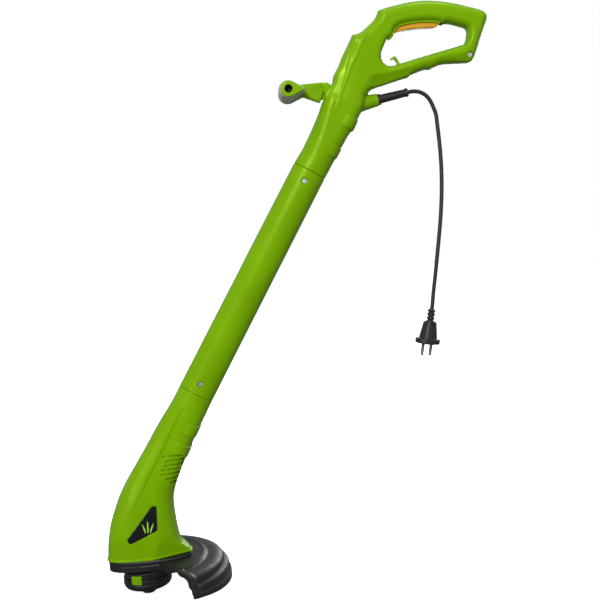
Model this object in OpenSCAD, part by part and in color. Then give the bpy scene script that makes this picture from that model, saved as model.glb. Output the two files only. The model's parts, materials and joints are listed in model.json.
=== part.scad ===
// Corded electric string trimmer, built as an assembly of separate pieces. Millimetres.
// The origin is the middle of the main grip. +X points back towards the user, +Z up and
// +Y to the machine's right. The cutting head is at the lower front end.

/* [Handle] */
// Wall thickness of the moulded housings
wall = 2.6; // [2.2:0.2:3]
// Width of the trigger
trigger_w = 16; // [14:1:18]
// Turn of the trigger from released to fully pressed
trigger_travel = 4; // [2:0.5:4.5]
// Distance from the middle plane to the seat of a housing screw
seat_y = 12; // [11:0.5:13]

/* [Front grip] */
// Length of the cross bar with its end caps
bar_len = 108; // [100:2:120]
// Radius of the round front of the soft sleeve
sleeve_r = 13; // [12.6:0.2:14]
// Thickness of the arm between the bar and the neck
arm_t = 18; // [16:1:20]

/* [Tube] */
// Lean of the tube from upright
lean = 27.2; // [27:0.1:27.4]
// Half the front-to-back width at the lower end
tube_low_r = 28; // [27.5:0.1:28.5]
// Half the front-to-back width at the upper end
tube_top_r = 26.2; // [26:0.1:26.6]
// Side-to-side width as a part of the front-to-back width
tube_flat = 0.82; // [0.8:0.01:0.84]
// Wall of the tube
tube_wall = 2.2; // [2:0.1:2.4]
// Length of the spigots that plug into the tube
spigot_len = 32; // [28:1:36]

/* [Cutting head] */
// Lean of the spool axis towards the front
head_tilt = 5.5; // [5:0.1:6]
// Radius of the motor
motor_r = 27; // [26:0.5:27]
// Radius of the motor shaft
shaft_r = 4; // [4:0.5:4]
// Running clearance of the shaft in its bearings
running_gap = 0.03; // [0.02:0.01:0.05]
// Radius of the spool drum's rim
drum_r = 37.5; // [37.5:0.1:38]
// Upward travel of the bump knob
bump_travel = 4; // [2:0.5:4]
// Inward travel of each release clip
clip_travel = 2; // [1:0.5:2]
// Radius at which the cutter blade trims the line
line_reach = 117; // [110:1:118]

/* [Guard] */
// Radius of the guard's rim
rim_r = 126; // [125:0.5:127]
// Radius of the skirt's lower edge
skirt_r = 133; // [132:0.5:134]
// Angle of the guard's near end, from straight back
guard_near = -52; // [-56:1:-50]
// Angle of the guard's far end, from straight back
guard_far = 78; // [70:1:80]
// Height of the collar round the head
collar_h = 17; // [16:0.5:17.5]

/* [Mains lead] */
// Diameter of the mains cord
cord_d = 6.2; // [6:0.1:6.4]
// Length of the strain relief outside the housing
relief_len = 47; // [44:1:48]
// Angle of the strain relief above level
relief_rise = 14; // [13:0.5:15]
// Radius of a plug pin
pin_r = 2.4; // [2.4:0.1:2.4]
// Length of the full round of a plug pin
pin_len = 18; // [17:0.5:18]
// Distance between the plug pins
pin_gap = 19; // [19:0.1:19]

/* [Hidden] */
$fn = 48;

green = [0.42, 0.63, 0.04];
black = [0.13, 0.13, 0.14];
grey = [0.55, 0.55, 0.56];
amber = [0.78, 0.56, 0.15];
steel = [0.75, 0.76, 0.78];
copper = [0.72, 0.42, 0.22];
brass = [0.80, 0.66, 0.30];

touch = 0.01;
cover = 200; // more than half the width of anything here

// ---------- Frames ----------
tube_foot = [-351.5, -577.8];
tube_head = [-175.5, -235.7];
tube_len = norm(tube_head - tube_foot);
head_mid = [-435.3, -839.1];
gland_mid = [-71.3, -128];
bar_mid = [-208.5, -117.7];
plug_top = [15.5, -448.8];
plug_tilt = 6.7;
plug_turn = 40;

module at(p) translate([p.x, 0, p.y]) children();
module in_tube() at(tube_foot) rotate([0, lean, 0]) children();
module in_head() at(head_mid) rotate([0, -head_tilt, 0]) children();
module in_gland() at(gland_mid) rotate([0, 90 - relief_rise, 0]) children();
module in_plug() at(plug_top) rotate([0, plug_tilt, 0]) rotate([0, 0, plug_turn]) children();

// A flat outline in X and Z, given a thickness across Y.
module across(t) rotate([90, 0, 0]) linear_extrude(t, center = true) children();
// A round bar along Y from y1 to y2.
module bar(p, r, y1, y2) translate([p.x, y1, p.y]) rotate([-90, 0, 0]) cylinder(r = r, h = y2 - y1);

// ---------- Lofted housings ----------
// The station where a housing meets the square-cut end of the tube, r from front to rear.
function seam(mid, r, half_w) = [
    mid.x - r * cos(lean), mid.y + r * sin(lean), mid.x + r * cos(lean), mid.y - r * sin(lean), half_w];
// A station is [front x, front z, rear x, rear z, half width]. Each list runs upwards, or
// forwards along the lower bar.
handle_stations = [
    seam(tube_head, tube_top_r, tube_top_r * tube_flat),
    [-187, -204, -141, -223, 21.6],
    [-176, -183, -129, -203, 21.8],
    [-167, -162, -115, -178, 22],
    [-160, -140, -105, -159, 22],
    [-153, -124, -97, -148, 22],
    [-143, -104, -85, -130, 21.5],
    [-139, -93, -77, -112, 21],
    [-132, -79.5, -70, -92, 20.5],
    [-126, -64.5, -66.5, -70, 20],
    [-118, -47, -65.5, -58, 19.5],
    [-111.5, -32.5, -62, -47, 19],
    [-98, -27.5, -58.5, -39.5, 18.8],
    [-84, -15.5, -53, -36, 18.5],
    [-72.5, 3.5, -47.5, -28, 18.5],
    [-62, 7.5, -44, -22, 18.5],
    [-47, 11, -36, -17.5, 18.5],
    [-24, 16.5, -18, -14.5, 18.5],
    [-1, 18.5, 0, -13, 18.5],
    [21.5, 17.5, 20, -13.5, 18.5],
    [44, 14.5, 38, -16, 18.5],
    [67, 9.5, 54, -19.5, 18.5],
    [85.5, 5.5, 60, -22, 18],
    [92.5, -4, 62, -27, 17.5],
    [83, -35.5, 61, -40, 17],
    [77, -56, 57.5, -46, 17],
];
lower_bar_stations = [
    [79, -50, 60, -43.5, 16.6],
    [76, -60, 56, -46.5, 17],
    [68, -72, 48, -48.5, 17],
    [50, -74, 36, -52, 17],
    [23, -76, 10, -59.5, 17],
    [-3, -85, -12, -66, 17.5],
    [-23, -90, -30, -71.5, 18],
    [-38, -98.5, -45, -76, 18.5],
    [-76, -111.5, -62, -75, 19.5],
    [-90, -112, -75, -72, 20],
];
motor_stations = [
    [-492.6, -844.5, -361, -831.9, 30],
    [-493, -836, -362, -827.5, 31],
    [-493, -825, -372, -816, 32],
    [-491.5, -810, -381, -803, 33],
    [-488, -790, -385, -782, 34],
    [-482, -766, -388.5, -757, 34],
    [-473, -740, -389, -736, 34],
    [-462, -717.5, -382.5, -715, 33],
    [-450, -695, -374, -692, 31.5],
    [-437, -673, -364, -673, 30],
    [-424, -649, -356, -653, 28.5],
    [-409, -622, -347, -633, 27],
    [-392, -594, -337, -612, 25],
    seam(tube_foot, tube_low_r - 0.5, tube_low_r * tube_flat + 0.3),
];
sides = 28;
squareness = 0.82; // 1 is an ellipse, and less is squarer
oval = [for (i = [0:sides - 1]) let (a = 360 * i / sides)
    [sign(cos(a)) * pow(abs(cos(a)), squareness), sign(sin(a)) * pow(abs(sin(a)), squareness)]];

// The points of the oval slice at station s, larger by grow all round.
function slice(s, grow) =
    let (front = [s[0], 0, s[1]], run = [s[2], 0, s[3]] - front)
    [for (p = oval) front + run / 2 + unit(run) * p.x * (norm(run) / 2 + grow)
        + [0, p.y * (s[4] + grow), 0]];
// Faces of a tube of n rings with m points each, closed at both ends.
function skin(n, m) = concat(
    [[for (k = [0:m - 1]) k], [for (k = [m - 1:-1:0]) (n - 1) * m + k]],
    [for (i = [0:n - 2]) for (k = [0:m - 1]) let (j = (k + 1) % m)
        each [[i * m + k, (i + 1) * m + k, (i + 1) * m + j], [i * m + k, (i + 1) * m + j, i * m + j]]]);
function unit(v) = v / norm(v);
module loft(stations, grow = 0)
    polyhedron([for (s = stations) each slice(s, grow)], skin(len(stations), sides));
// An oval length of the tube's own shape, from z1 to z2 along it, shrunk by inset all round.
module tube_solid(z1, z2, inset) {
    taper = (tube_top_r - tube_low_r) / tube_len;
    radius = tube_low_r - inset;
    scale([1, (radius * tube_flat - inset * (1 - tube_flat)) / radius, 1]) translate([0, 0, z1])
        cylinder(h = z2 - z1, r1 = radius + taper * z1, r2 = radius + taper * z2, $fn = 48);
}
module half(side) intersection() {
    children();
    translate([-600, side > 0 ? 0 : -cover, -1000]) cube([800, cover, 1200]);
}
spigot_gap = 0.2;
spigot_wall = 2.4;
lead_in = 4;

// ---------- Fasteners ----------
screw_r = 1.9;
screw_head_r = 3.6;
screw_head_h = 2.4;
post_r = 5;
pilot_r = 2.05; // clears the screw even where the post's bore is many-sided
head_well_r = 4.2;

// A cross-head screw whose seat is at the origin and whose shank runs down -Z.
module screw(len, shank = screw_r, head = screw_head_r) {
    difference() {
        cylinder(r = head, h = screw_head_h);
        for (turn = [0, 90]) rotate([0, 0, turn])
            translate([-head * 0.6, -0.4, screw_head_h - 1]) cube([head * 1.2, 0.8, 2]);
    }
    translate([0, 0, -len]) cylinder(r = shank, h = len);
}
// The same screw lying across the housing: side is +1 when its head is on the right.
module cross_screw(p, side, seat, len) translate([p.x, side * seat, p.y])
    rotate([side > 0 ? -90 : 90, 0, 0]) screw(len);
// Posts that meet at the middle plane, with the pilot hole and the well for the screw's head.
// They taper towards that plane, as moulded posts do.
module post(p) for (side = [-1, 1]) hull() {
    bar(p, post_r, side > 0 ? 0 : -cover / 4, side > 0 ? cover / 4 : 0);
    bar(p, post_r + 1, side > 0 ? 20 : -cover / 4, side > 0 ? cover / 4 : -20);
}
module post_bore(p, side, seat, len) {
    reach = len - seat + 1;
    bar(p, pilot_r, side > 0 ? -reach : -seat - touch, side > 0 ? seat + touch : reach);
    bar(p, head_well_r, side > 0 ? seat : -cover / 4, side > 0 ? cover / 4 : -seat);
}

// ---------- Handle ----------
handle_posts = [[78, -7, 1], [-97, -42, 1], [-149, -161, 1], [-10, -75.5, 1], [65, -62, -1]];
handle_screw_len = 22;
pivot = [32, -3];
pivot_pin_r = 2;
trigger_gap = 0.6;
arm_bolt = [-137, -118];
gland_r = 9.2;
relief_neck_r = 5.5;

module gland_boss(grow = 0) in_gland() translate([0, 0, -32])
    cylinder(h = 32 + grow, r1 = 12 + grow, r2 = gland_r + grow);
module hook_outline() difference() {
    polygon([
        [-38, -76], [-44.5, -65], [-49, -64], [-53.3, -67], [-52, -69.3], [-47.5, -68.6],
        [-44.5, -72], [-45, -78]]);
}
module trigger_slot() across(trigger_w + 2 * trigger_gap)
    polygon([[-53.5, -42], [-53.5, -15], [-20, -8], [20, -8], [29, -9], [29, -24]]);
arm_collar = [
    [-145.5, -104.5, -158.5, -134, 15],
    [-133, -100, -142, -142, 17],
];
module handle_outer(grow = 0) {
    loft(handle_stations, grow);
    loft(lower_bar_stations, grow);
    gland_boss(grow);
    loft(arm_collar, grow);
}
module handle_cavity() {
    loft([for (i = [1:len(handle_stations) - 1]) handle_stations[i]], -wall);
    loft(lower_bar_stations, -wall);
    in_tube() tube_solid(tube_len - spigot_len - 1, tube_len + 26, tube_wall + spigot_gap + spigot_wall);
    loft([arm_collar[0] + [8, 0, 8, 0, 0], arm_collar[1]], -wall);
}
module handle_shell() {
    $fn = 20;
    difference() {
        union() {
            difference() {
                handle_outer();
                handle_cavity();
                in_gland() translate([0, 0, -26]) cylinder(h = 26 - wall - 1, r = 8.2);
            }
            intersection() {
                handle_outer(-wall / 2);
                union() {
                    for (p = handle_posts) post(p);
                    for (side = [-1, 1]) {
                        bar(pivot, 4.5, side > 0 ? 12 : -20, side > 0 ? 20 : -12);
                        bar(arm_bolt, 6.5, side > 0 ? 6.3 : -25, side > 0 ? 25 : -6.3);
                    }
                }
            }
            in_tube() difference() {
                tube_solid(tube_len - spigot_len, tube_len + 1, tube_wall + spigot_gap);
                tube_solid(tube_len - spigot_len - 1, tube_len + 2,
                    tube_wall + spigot_gap + spigot_wall);
            }
            in_tube() translate([0, 0, tube_len]) joint_boss();
            across(7) hook_outline();
        }
        for (p = handle_posts) post_bore(p, p[2], seat_y, handle_screw_len);
        trigger_slot();
        bar(pivot, pivot_pin_r + 0.05, -17, 17);
        bar(arm_bolt, 2.6, -14, cover / 4);
        bar(arm_bolt, 4.8, 15, cover / 4);
        in_gland() translate([0, 0, -20]) cylinder(h = 30, r = relief_neck_r + 0.12);
        across(12.6) polygon([[-175, -90], [-127, -107], [-132, -129.5], [-175, -150]]);
        in_tube() translate([0, 0, tube_len]) joint_bore();
    }
}
module handle_housing_left() color(green) half(-1) handle_shell();
module handle_housing_right() color(green) half(1) handle_shell();
module handle_screws() color(steel)
    for (p = handle_posts) cross_screw(p, p[2], seat_y, handle_screw_len);

// ---------- Tube and its joints ----------
joint_inset = 17.6;
joint_seat = 17.8;
module joint_boss(up = -1) translate([0, -21, up * joint_inset]) rotate([-90, 0, 0])
    cylinder(r = 5, h = 17);
module joint_bore(up = -1) translate([0, -30, up * joint_inset]) rotate([-90, 0, 0]) {
    cylinder(r = pilot_r, h = 24);
    cylinder(r = 5.6, h = 30 - joint_seat);
}
module shaft_tube() color(green) in_tube() difference() {
    tube_solid(0, tube_len, 0);
    tube_solid(-1, tube_len + 1, tube_wall);
    for (z = [joint_inset, tube_len - joint_inset])
        translate([0, -30, z]) rotate([-90, 0, 0]) cylinder(r = 5.5, h = 29);
}
module tube_joint_screws() color(steel) in_tube()
    for (z = [joint_inset, tube_len - joint_inset])
        translate([0, -joint_seat, z]) rotate([90, 0, 0]) screw(10);

// ---------- Trigger and switch ----------
switch_low = -11;
plunger_x = -46;
plunger_r = 1.8;
module trigger() color(amber) difference() {
    union() {
        across(trigger_w) polygon([
            [-50, -31], [-44, -28], [-38, -26.2], [-27, -24.2], [-16, -22.8], [-2, -21.8], [11, -21.3],
            [16, -20], [20, -16.5], [28, -9], [36, -6], [34, 0], [24, -4], [10, -9], [-20, -13],
            [-41, -19], [-50, -20]]);
        bar(pivot, 4.6, -trigger_w / 2, trigger_w / 2);
    }
    bar(pivot, pivot_pin_r + 0.05, -cover, cover);
    across(trigger_w - 5) polygon([
        [-38, -23.5], [-16, -20], [10, -18.5], [20, -8.5], [8, -5], [-20, -8], [-38, -13]]);
}
module trigger_pin() color(steel) bar(pivot, pivot_pin_r, -17, 17);
module trigger_spring() color(steel) {
    for (i = [0:2]) translate([pivot.x, 8.9 + 0.8 * i, pivot.y]) rotate([90, 0, 0])
        rotate_extrude() translate([3.1, 0]) circle(r = 0.45);
    translate([pivot.x, 8.9, pivot.y + 3.1]) rotate([0, -104, 0]) cylinder(r = 0.4, h = 16);
    translate([pivot.x, 10.5, pivot.y + 3.1]) rotate([0, 75, 0]) cylinder(r = 0.4, h = 12);
}
module switch_body() color(black) difference() {
    translate([-66, -7, switch_low]) cube([27, 14, 12]);
    translate([plunger_x, 0, switch_low - 1]) cylinder(r = plunger_r + 0.3, h = 11);
    for (x = [-61, -55]) translate([x, 0, switch_low + 9]) rotate([90, 0, 0])
        cylinder(r = 1, h = 20, center = true);
}
module switch_plunger() color(grey) translate([plunger_x, 0, -18.6]) cylinder(r = plunger_r, h = 10.4);
module suppression_capacitor() color([0.75, 0.6, 0.2]) translate([-92, -7.5, -78]) cube([16, 9, 14]);

// ---------- Front grip ----------
tail = [18.3, 4.7];
core_r = 9.5;
cap_tube_r = 7.4;
cap_t = 5;
hub_half = 11;
module teardrop(r) hull() {
    circle(r = r, $fn = 40);
    translate([tail.x, 0]) circle(r = tail.y, $fn = 24);
}
module along_bar(y1, y2) translate([bar_mid.x, y2, bar_mid.y]) rotate([90, 0, 0])
    linear_extrude(y2 - y1) children();
module grip_arm() color(green) difference() {
    union() {
        bar(bar_mid, core_r, cap_t - bar_len / 2, bar_len / 2 - cap_t);
        along_bar(-hub_half, hub_half) teardrop(sleeve_r - 0.6);
        across(arm_t) polygon([
            [-196, -107.5], [-184, -105.8], [-160, -103.4], [-147, -103], [-147.6, -105.5],
            [-159.4, -133], [-161, -133.2], [-184, -125.2], [-196, -126]]);
        across(12) polygon([[-165, -108], [-128, -108], [-132.5, -128.5], [-165, -128.5]]);
    }
    for (side = [-1, 1]) bar(bar_mid, cap_tube_r,
        side > 0 ? bar_len / 2 - 20 : -bar_len / 2, side > 0 ? bar_len / 2 : 20 - bar_len / 2);
    bar(bar_mid, screw_r, -bar_len / 2, bar_len / 2);
    bar(arm_bolt, 2.5, -20, 20);
}
module grip_arm_bolt() color(steel) {
    bar(arm_bolt, 2.5, -13.5, 15);
    bar(arm_bolt, 4.4, 15, 18);
}
module grip_sleeves() color(grey) for (side = [-1, 1])
    along_bar(side > 0 ? hub_half : cap_t - bar_len / 2, side > 0 ? bar_len / 2 - cap_t : -hub_half)
        difference() {
            teardrop(sleeve_r);
            circle(r = core_r);
        }
module grip_caps() color(green) for (side = [-1, 1]) {
    face = bar_len / 2;
    difference() {
        union() {
            along_bar(side > 0 ? face - cap_t : -face, side > 0 ? face : cap_t - face)
                teardrop(sleeve_r - 0.7);
            bar(bar_mid, cap_tube_r, side > 0 ? face - 18 : -face, side > 0 ? face : 18 - face);
        }
        bar(bar_mid, cap_tube_r - 1.1,
            side > 0 ? face - 15 : -face - 1, side > 0 ? face + 1 : 15 - face);
        bar(bar_mid, screw_r, -face, face);
    }
}
module grip_cap_screws() color(steel) for (side = [-1, 1])
    cross_screw([bar_mid.x, bar_mid.y], side, bar_len / 2 - 15, 16);

// ---------- Mains lead ----------
module strain_relief() color(black) in_gland() rotate_extrude() polygon([
    [0, -10], [7.8, -10], [7.8, -wall - 5], [relief_neck_r, -wall - 4.9], [relief_neck_r, 0],
    [6.9, 0], [6.9, 3], [6.5, 4], [5.7, relief_len - 2], [5.7, relief_len - 1],
    [4.8, relief_len], [0, relief_len]]);
module cord_tail() color(black) in_gland() translate([0, 0, -42]) cylinder(r = cord_d / 2, h = 32);
clamp_z = -37;
module cable_clamp() color(grey) in_gland() difference() {
    translate([-4.6, -12, clamp_z]) cube([1.6 + 3, 24, 8]);
    translate([0, 0, clamp_z - 1]) cylinder(r = cord_d / 2, h = 10);
    for (side = [-1, 1]) translate([-10, side * 8.4, clamp_z + 4]) rotate([0, 90, 0])
        cylinder(r = 1.5, h = 20);
}
module clamp_screws() color(steel) in_gland() for (side = [-1, 1])
    translate([-4.6, side * 8.4, clamp_z + 4]) rotate([0, -90, 0]) screw(4.6, 1.5, 2.6);

// Points along the free cord: [x, z], from the strain relief down to the plug.
relief_way = [cos(relief_rise), sin(relief_rise)];
relief_tip = gland_mid + relief_len * relief_way;
cord_route = [
    relief_tip, [-18.3, -115.4], [-11.5, -115.6], [-5, -117.4], [1, -120.8], [6, -125.6],
    [10.2, -132.2], [14.1, -140.5], [17.7, -150.1], [20.3, -168], [22.7, -185.5], [25.1, -206],
    [27, -229], [28, -254], [28, -280], [27, -308], [25, -337], [22.5, -368], [20, -398],
    [17.5, -424], plug_top + 7 * [sin(plug_tilt), cos(plug_tilt)], plug_top,
];
// Smooth curve through points p, with n steps between each pair.
function smooth(p, n) = [for (i = [0:len(p) - 2]) for (k = [0:n - 1])
    let (a = p[max(i - 1, 0)], b = p[i], c = p[i + 1], d = p[min(i + 2, len(p) - 1)], t = k / n)
    b + t / 2 * (c - a + t * (2 * a - 5 * b + 4 * c - d + t * (3 * (b - c) + d - a))),
    p[len(p) - 1]];
// A round tube of radius r through 3-D points p that never run straight along Y.
module sweep(p, r, around = 8) {
    last = len(p) - 1;
    rings = [for (i = [0:last]) let (
            t = unit(p[min(i + 1, last)] - p[max(i - 1, 0)]),
            n = unit(cross(t, [0, 1, 0])), m = cross(t, n))
        for (k = [0:around - 1]) let (a = 360 * k / around) p[i] + r * (cos(a) * n + sin(a) * m)];
    polyhedron(rings, skin(last + 1, around));
}
module mains_cord() color(black)
    sweep([for (p = smooth(cord_route, 2)) [p.x, 0, p.y]], cord_d / 2, 10);

lead_r = 1.3;
tail_end = gland_mid - 43.5 * relief_way;
module live_lead() color([0.45, 0.25, 0.12]) sweep([
    [tail_end.x, -1.5, tail_end.y], [-118, -4, -136], [-117, -9, -124], [-107, -11, -100],
    [-96, -11, -70], [-83, -9, -40], [-76, -4, -18], [-71, -2, -7], [-66.6, -2, -5]], lead_r);
module switched_lead() color([0.1, 0.1, 0.1]) sweep([
    [-66.6, 3, -7.5], [-71, 4, -9], [-79, 9, -30], [-90, 14, -62], [-106, 14.5, -100],
    [-121, 12.5, -136], [-140, 9, -180], [-175, 9, -236], [-265, 9, -411], [-352, 9, -578],
    [-372, 9, -620], [-392, 9, -670], [-410, 8, -712], [-424, 7, -738], [-431.5, 7, -748.2]],
    lead_r);
module neutral_lead() color([0.15, 0.3, 0.6]) sweep([
    [tail_end.x, 2, tail_end.y], [-119, 3, -142], [-126, 3.5, -153], [-143, 3.5, -182],
    [-177, 3.5, -238], [-265, 3.5, -411], [-352, 3, -578], [-371, 0, -620], [-390, -4, -670],
    [-408, -7, -712], [-422, -7, -738], [-431.5, -7, -748.2]], lead_r);

module plug_body() color(black) in_plug() difference() {
    union() {
        translate([0, 0, -17]) rotate_extrude() polygon(concat([[0, 0]],
            [for (i = [0:3]) for (q = [[5.8, 0.3], [5.8, 2.6], [5.1, 2.8], [5.1, 4.1]])
                [q.x, q.y + 4.2 * i]],
            [[4.6, 17], [0, 17]]));
        scale([1, 0.8, 1]) translate([0, 0, -47]) cylinder(h = 32, r1 = 13.5, r2 = 8);
        scale([1, 0.84, 1]) translate([0, 0, -54]) cylinder(h = 8, r = 20);
    }
    for (side = [-1, 1]) translate([side * pin_gap / 2, 0, -55]) cylinder(r = 1.9, h = 11);
}
module plug_pins() color(steel) in_plug()
    for (side = [-1, 1]) translate([side * pin_gap / 2, 0, -54]) {
        cylinder(r = 1.9, h = 10);
        translate([0, 0, -pin_len]) cylinder(r = pin_r, h = pin_len);
        translate([0, 0, -pin_len - 1]) cylinder(r1 = pin_r - 1, r2 = pin_r, h = 1);
    }

// ---------- Motor housing ----------
motor_posts = [[-386, -602, 1], [-430, -698, 1], [-392, -806, 1], [-477.5, -806, 1]];
motor_seat = 18;
motor_screw_len = 30;
guard_posts = [[-38, 16], [-38, -16], [44, 14], [44, -14]];
foot = [[-57.5, 74.5], 30];
foot_mid = (foot[0][0] + foot[0][1]) / 2;
foot_half = (foot[0][1] - foot[0][0]) / 2;
module foot_outline(grow = 0) translate([foot_mid, 0])
    polygon([for (p = oval) [p.x * (foot_half + grow), p.y * (foot[1] + grow)]]);
// Vent slots on each side: [front x, rear x, z at the middle].
vents = [[-403, -374, -673], [-397, -371, -680], [-400, -373, -687], [-404, -374, -694],
    [-404, -379, -701], [-398, -381, -708.5], [-392, -384, -715]];
vent_h = 2.6;
module vent_cuts() for (v = vents, side = [-1, 1])
    translate([(v[0] + v[1]) / 2, side * 33, v[2]]) rotate([0, -3.5, 0])
        cube([v[1] - v[0], 26, vent_h], center = true);
badge_outline = [[-419.5, -750], [-413, -750], [-412, -788.5], [-454, -810.8], [-459, -804.5]];
badge_y = 32.4;
badge_t = 1.2;
module badge(side) color(black) translate([0, side * (badge_y + badge_t / 2), 0])
    across(badge_t) polygon(badge_outline);
module badge_left() badge(-1);
module badge_right() badge(1);

module motor_cavity() {
    below = [0.2, -2, 0.2, -2, 0];
    loft([for (i = [0:len(motor_stations) - 2])
        motor_stations[i] + (i == 0 ? below : 0 * below)], -wall);
    in_tube() tube_solid(-36, spigot_len + 1, tube_wall + spigot_gap + spigot_wall);
}
module motor_shell() {
    $fn = 20;
    difference() {
        union() {
            difference() {
                loft(motor_stations);
                motor_cavity();
            }
            intersection() {
                loft(motor_stations, -wall / 2);
                union() {
                    for (p = motor_posts) post(p);
                    in_head() for (w = [31, 51]) difference() {
                        translate([-60, -40, w]) cube([100, 80, 3]);
                        cylinder(r = motor_r + 0.15, h = 100, $fn = 64);
                        translate([30, -20, 0]) cube([40, 40, 100]);
                    }
                    in_head() for (p = guard_posts) hull() {
                        translate([p.x, p.y, 0.3]) cylinder(r = 4.6, h = 15);
                        translate([p.x * 1.12, p.y * 1.5, 0.3]) cylinder(r = 2, h = 15);
                    }
                }
            }
            in_tube() difference() {
                tube_solid(-1, spigot_len, tube_wall + spigot_gap);
                tube_solid(-2, spigot_len + 1, tube_wall + spigot_gap + spigot_wall);
            }
            in_tube() joint_boss(1);
        }
        for (p = motor_posts) post_bore(p, p[2], motor_seat, motor_screw_len);
        in_head() for (p = guard_posts) translate([p.x, p.y, -5]) cylinder(r = pilot_r, h = 19);
        vent_cuts();
        for (side = [-1, 1]) translate([0, side * (badge_y + 5), 0]) across(10) polygon(badge_outline);
        in_tube() joint_bore(1);
    }
}
module motor_housing_left() color(green) half(-1) motor_shell();
module motor_housing_right() color(green) half(1) motor_shell();
module motor_housing_screws() color(steel)
    for (p = motor_posts) cross_screw(p, p[2], motor_seat, motor_screw_len);

// ---------- Motor, in the head's own frame ----------
bearing = [11, 7]; // outer radius, width
lower_bearing_z = 3;
upper_bearing_z = 80;
stator_z = [27, 57];
armature_r = 14;
comm = [9, 63, 74]; // radius, bottom, top
module ring(outer, inner, z1, z2) translate([0, 0, z1]) difference() {
    cylinder(r = outer, h = z2 - z1);
    translate([0, 0, -1]) cylinder(r = inner, h = z2 - z1 + 2);
}
module motor_stator() color(grey) in_head() difference() {
    ring(motor_r, armature_r + 0.5, stator_z[0], stator_z[1]);
    for (a = [0, 180]) rotate([0, 0, a]) translate([0, 0, stator_z[0] - 1]) intersection() {
        ring(22.5, armature_r - 1, 0, 40);
        translate([0, -9, 0]) cube([40, 18, 40]);
    }
}
coil_r = 21.8; // clears the bracket's columns
module field_coils() color(copper) in_head() for (z = [[24.6, stator_z[0]], [stator_z[1], 61.5]])
    difference() {
        ring(coil_r, 16.5, z[0], z[1]);
        translate([-30, -2, z[0] - 1]) cube([60, 4, 10]);
    }
module motor_bracket() color(steel) in_head() {
    difference() {
        union() {
            ring(motor_r, bearing[0], 5, 8);
            ring(14, bearing[0], 2, lower_bearing_z + bearing[1]);
            ring(14, shaft_r + 2, 2, lower_bearing_z);
        }
        for (a = [30, 90, 150, 210, 270, 330]) rotate([0, 0, a]) translate([19, 0, 4])
            cylinder(r = 3.2, h = 5);
    }
    for (a = [0, 120, 240]) rotate([0, 0, a]) translate([24, 0, 8]) cylinder(r = 2, h = stator_z[0] - 8);
}
module motor_end_cap() color(black) in_head() difference() {
    union() {
        ring(motor_r, 24.6, stator_z[1], 86);
        ring(motor_r, bearing[0] + 3, 86, 89);
        ring(bearing[0] + 3, bearing[0], upper_bearing_z, 87);
        ring(bearing[0] + 3, 3, 87, 89);
    }
    for (a = [45, 135, 225, 315]) rotate([0, 0, a]) translate([22, -4, 62]) cube([10, 8, 16]);
    for (a = [90, 270]) rotate([0, 0, a]) translate([20, -5, 63.5]) cube([10, 10, 10]);
}
module bearing_at(z) color(steel) in_head() difference() {
    ring(bearing[0], shaft_r + running_gap, z, z + bearing[1]);
    ring(9, 6.5, z - 0.6, z + 0.6);
    ring(9, 6.5, z + bearing[1] - 0.6, z + bearing[1] + 0.6);
}
module lower_bearing() bearing_at(lower_bearing_z);
module upper_bearing() bearing_at(upper_bearing_z);
module brush_holders() color(brass) in_head() for (a = [90, 270]) rotate([0, 0, a])
    difference() {
        translate([11, -5, 63.5]) cube([13, 10, 10]);
        translate([10, -3, 65.5]) cube([20, 6, 6]);
    }
module carbon_brushes() color(black) in_head() for (a = [90, 270]) rotate([0, 0, a])
    translate([comm[0] + 0.3, -3, 65.5]) cube([12, 6, 6]);

shaft_low = -33;
module motor_shaft() color(steel) in_head() translate([0, 0, shaft_low])
    cylinder(r = shaft_r, h = 87 - shaft_low);
module armature() color(copper) in_head() rotate_extrude() polygon([
    [shaft_r, 25], [10, 25], [12.5, 28], [armature_r, 28], [armature_r, 56], [12, 56],
    [10, 60.5], [shaft_r, 60.5]]);
module commutator() color(copper) in_head() difference() {
    ring(comm[0], shaft_r, comm[1], comm[2]);
    for (a = [0:30:330]) rotate([0, 0, a]) translate([comm[0] - 0.6, -0.25, comm[1] - 1])
        cube([2, 0.5, 20]);
}
fan_z = [12, 22];
module cooling_fan() color(black) in_head() {
    ring(7, shaft_r, fan_z[0], fan_z[1]);
    ring(20.5, shaft_r + 1, fan_z[0], fan_z[0] + 1.6);
    for (a = [0:40:320]) rotate([0, 0, a]) translate([6.5, -0.8, fan_z[0] + 1])
        cube([13.5, 1.6, fan_z[1] - fan_z[0] - 1]);
}

// ---------- Guard ----------
web_t = 3;
guard_seat = -9; // height of the seats of the guard's screws
shaft_hole_r = 16;
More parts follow.
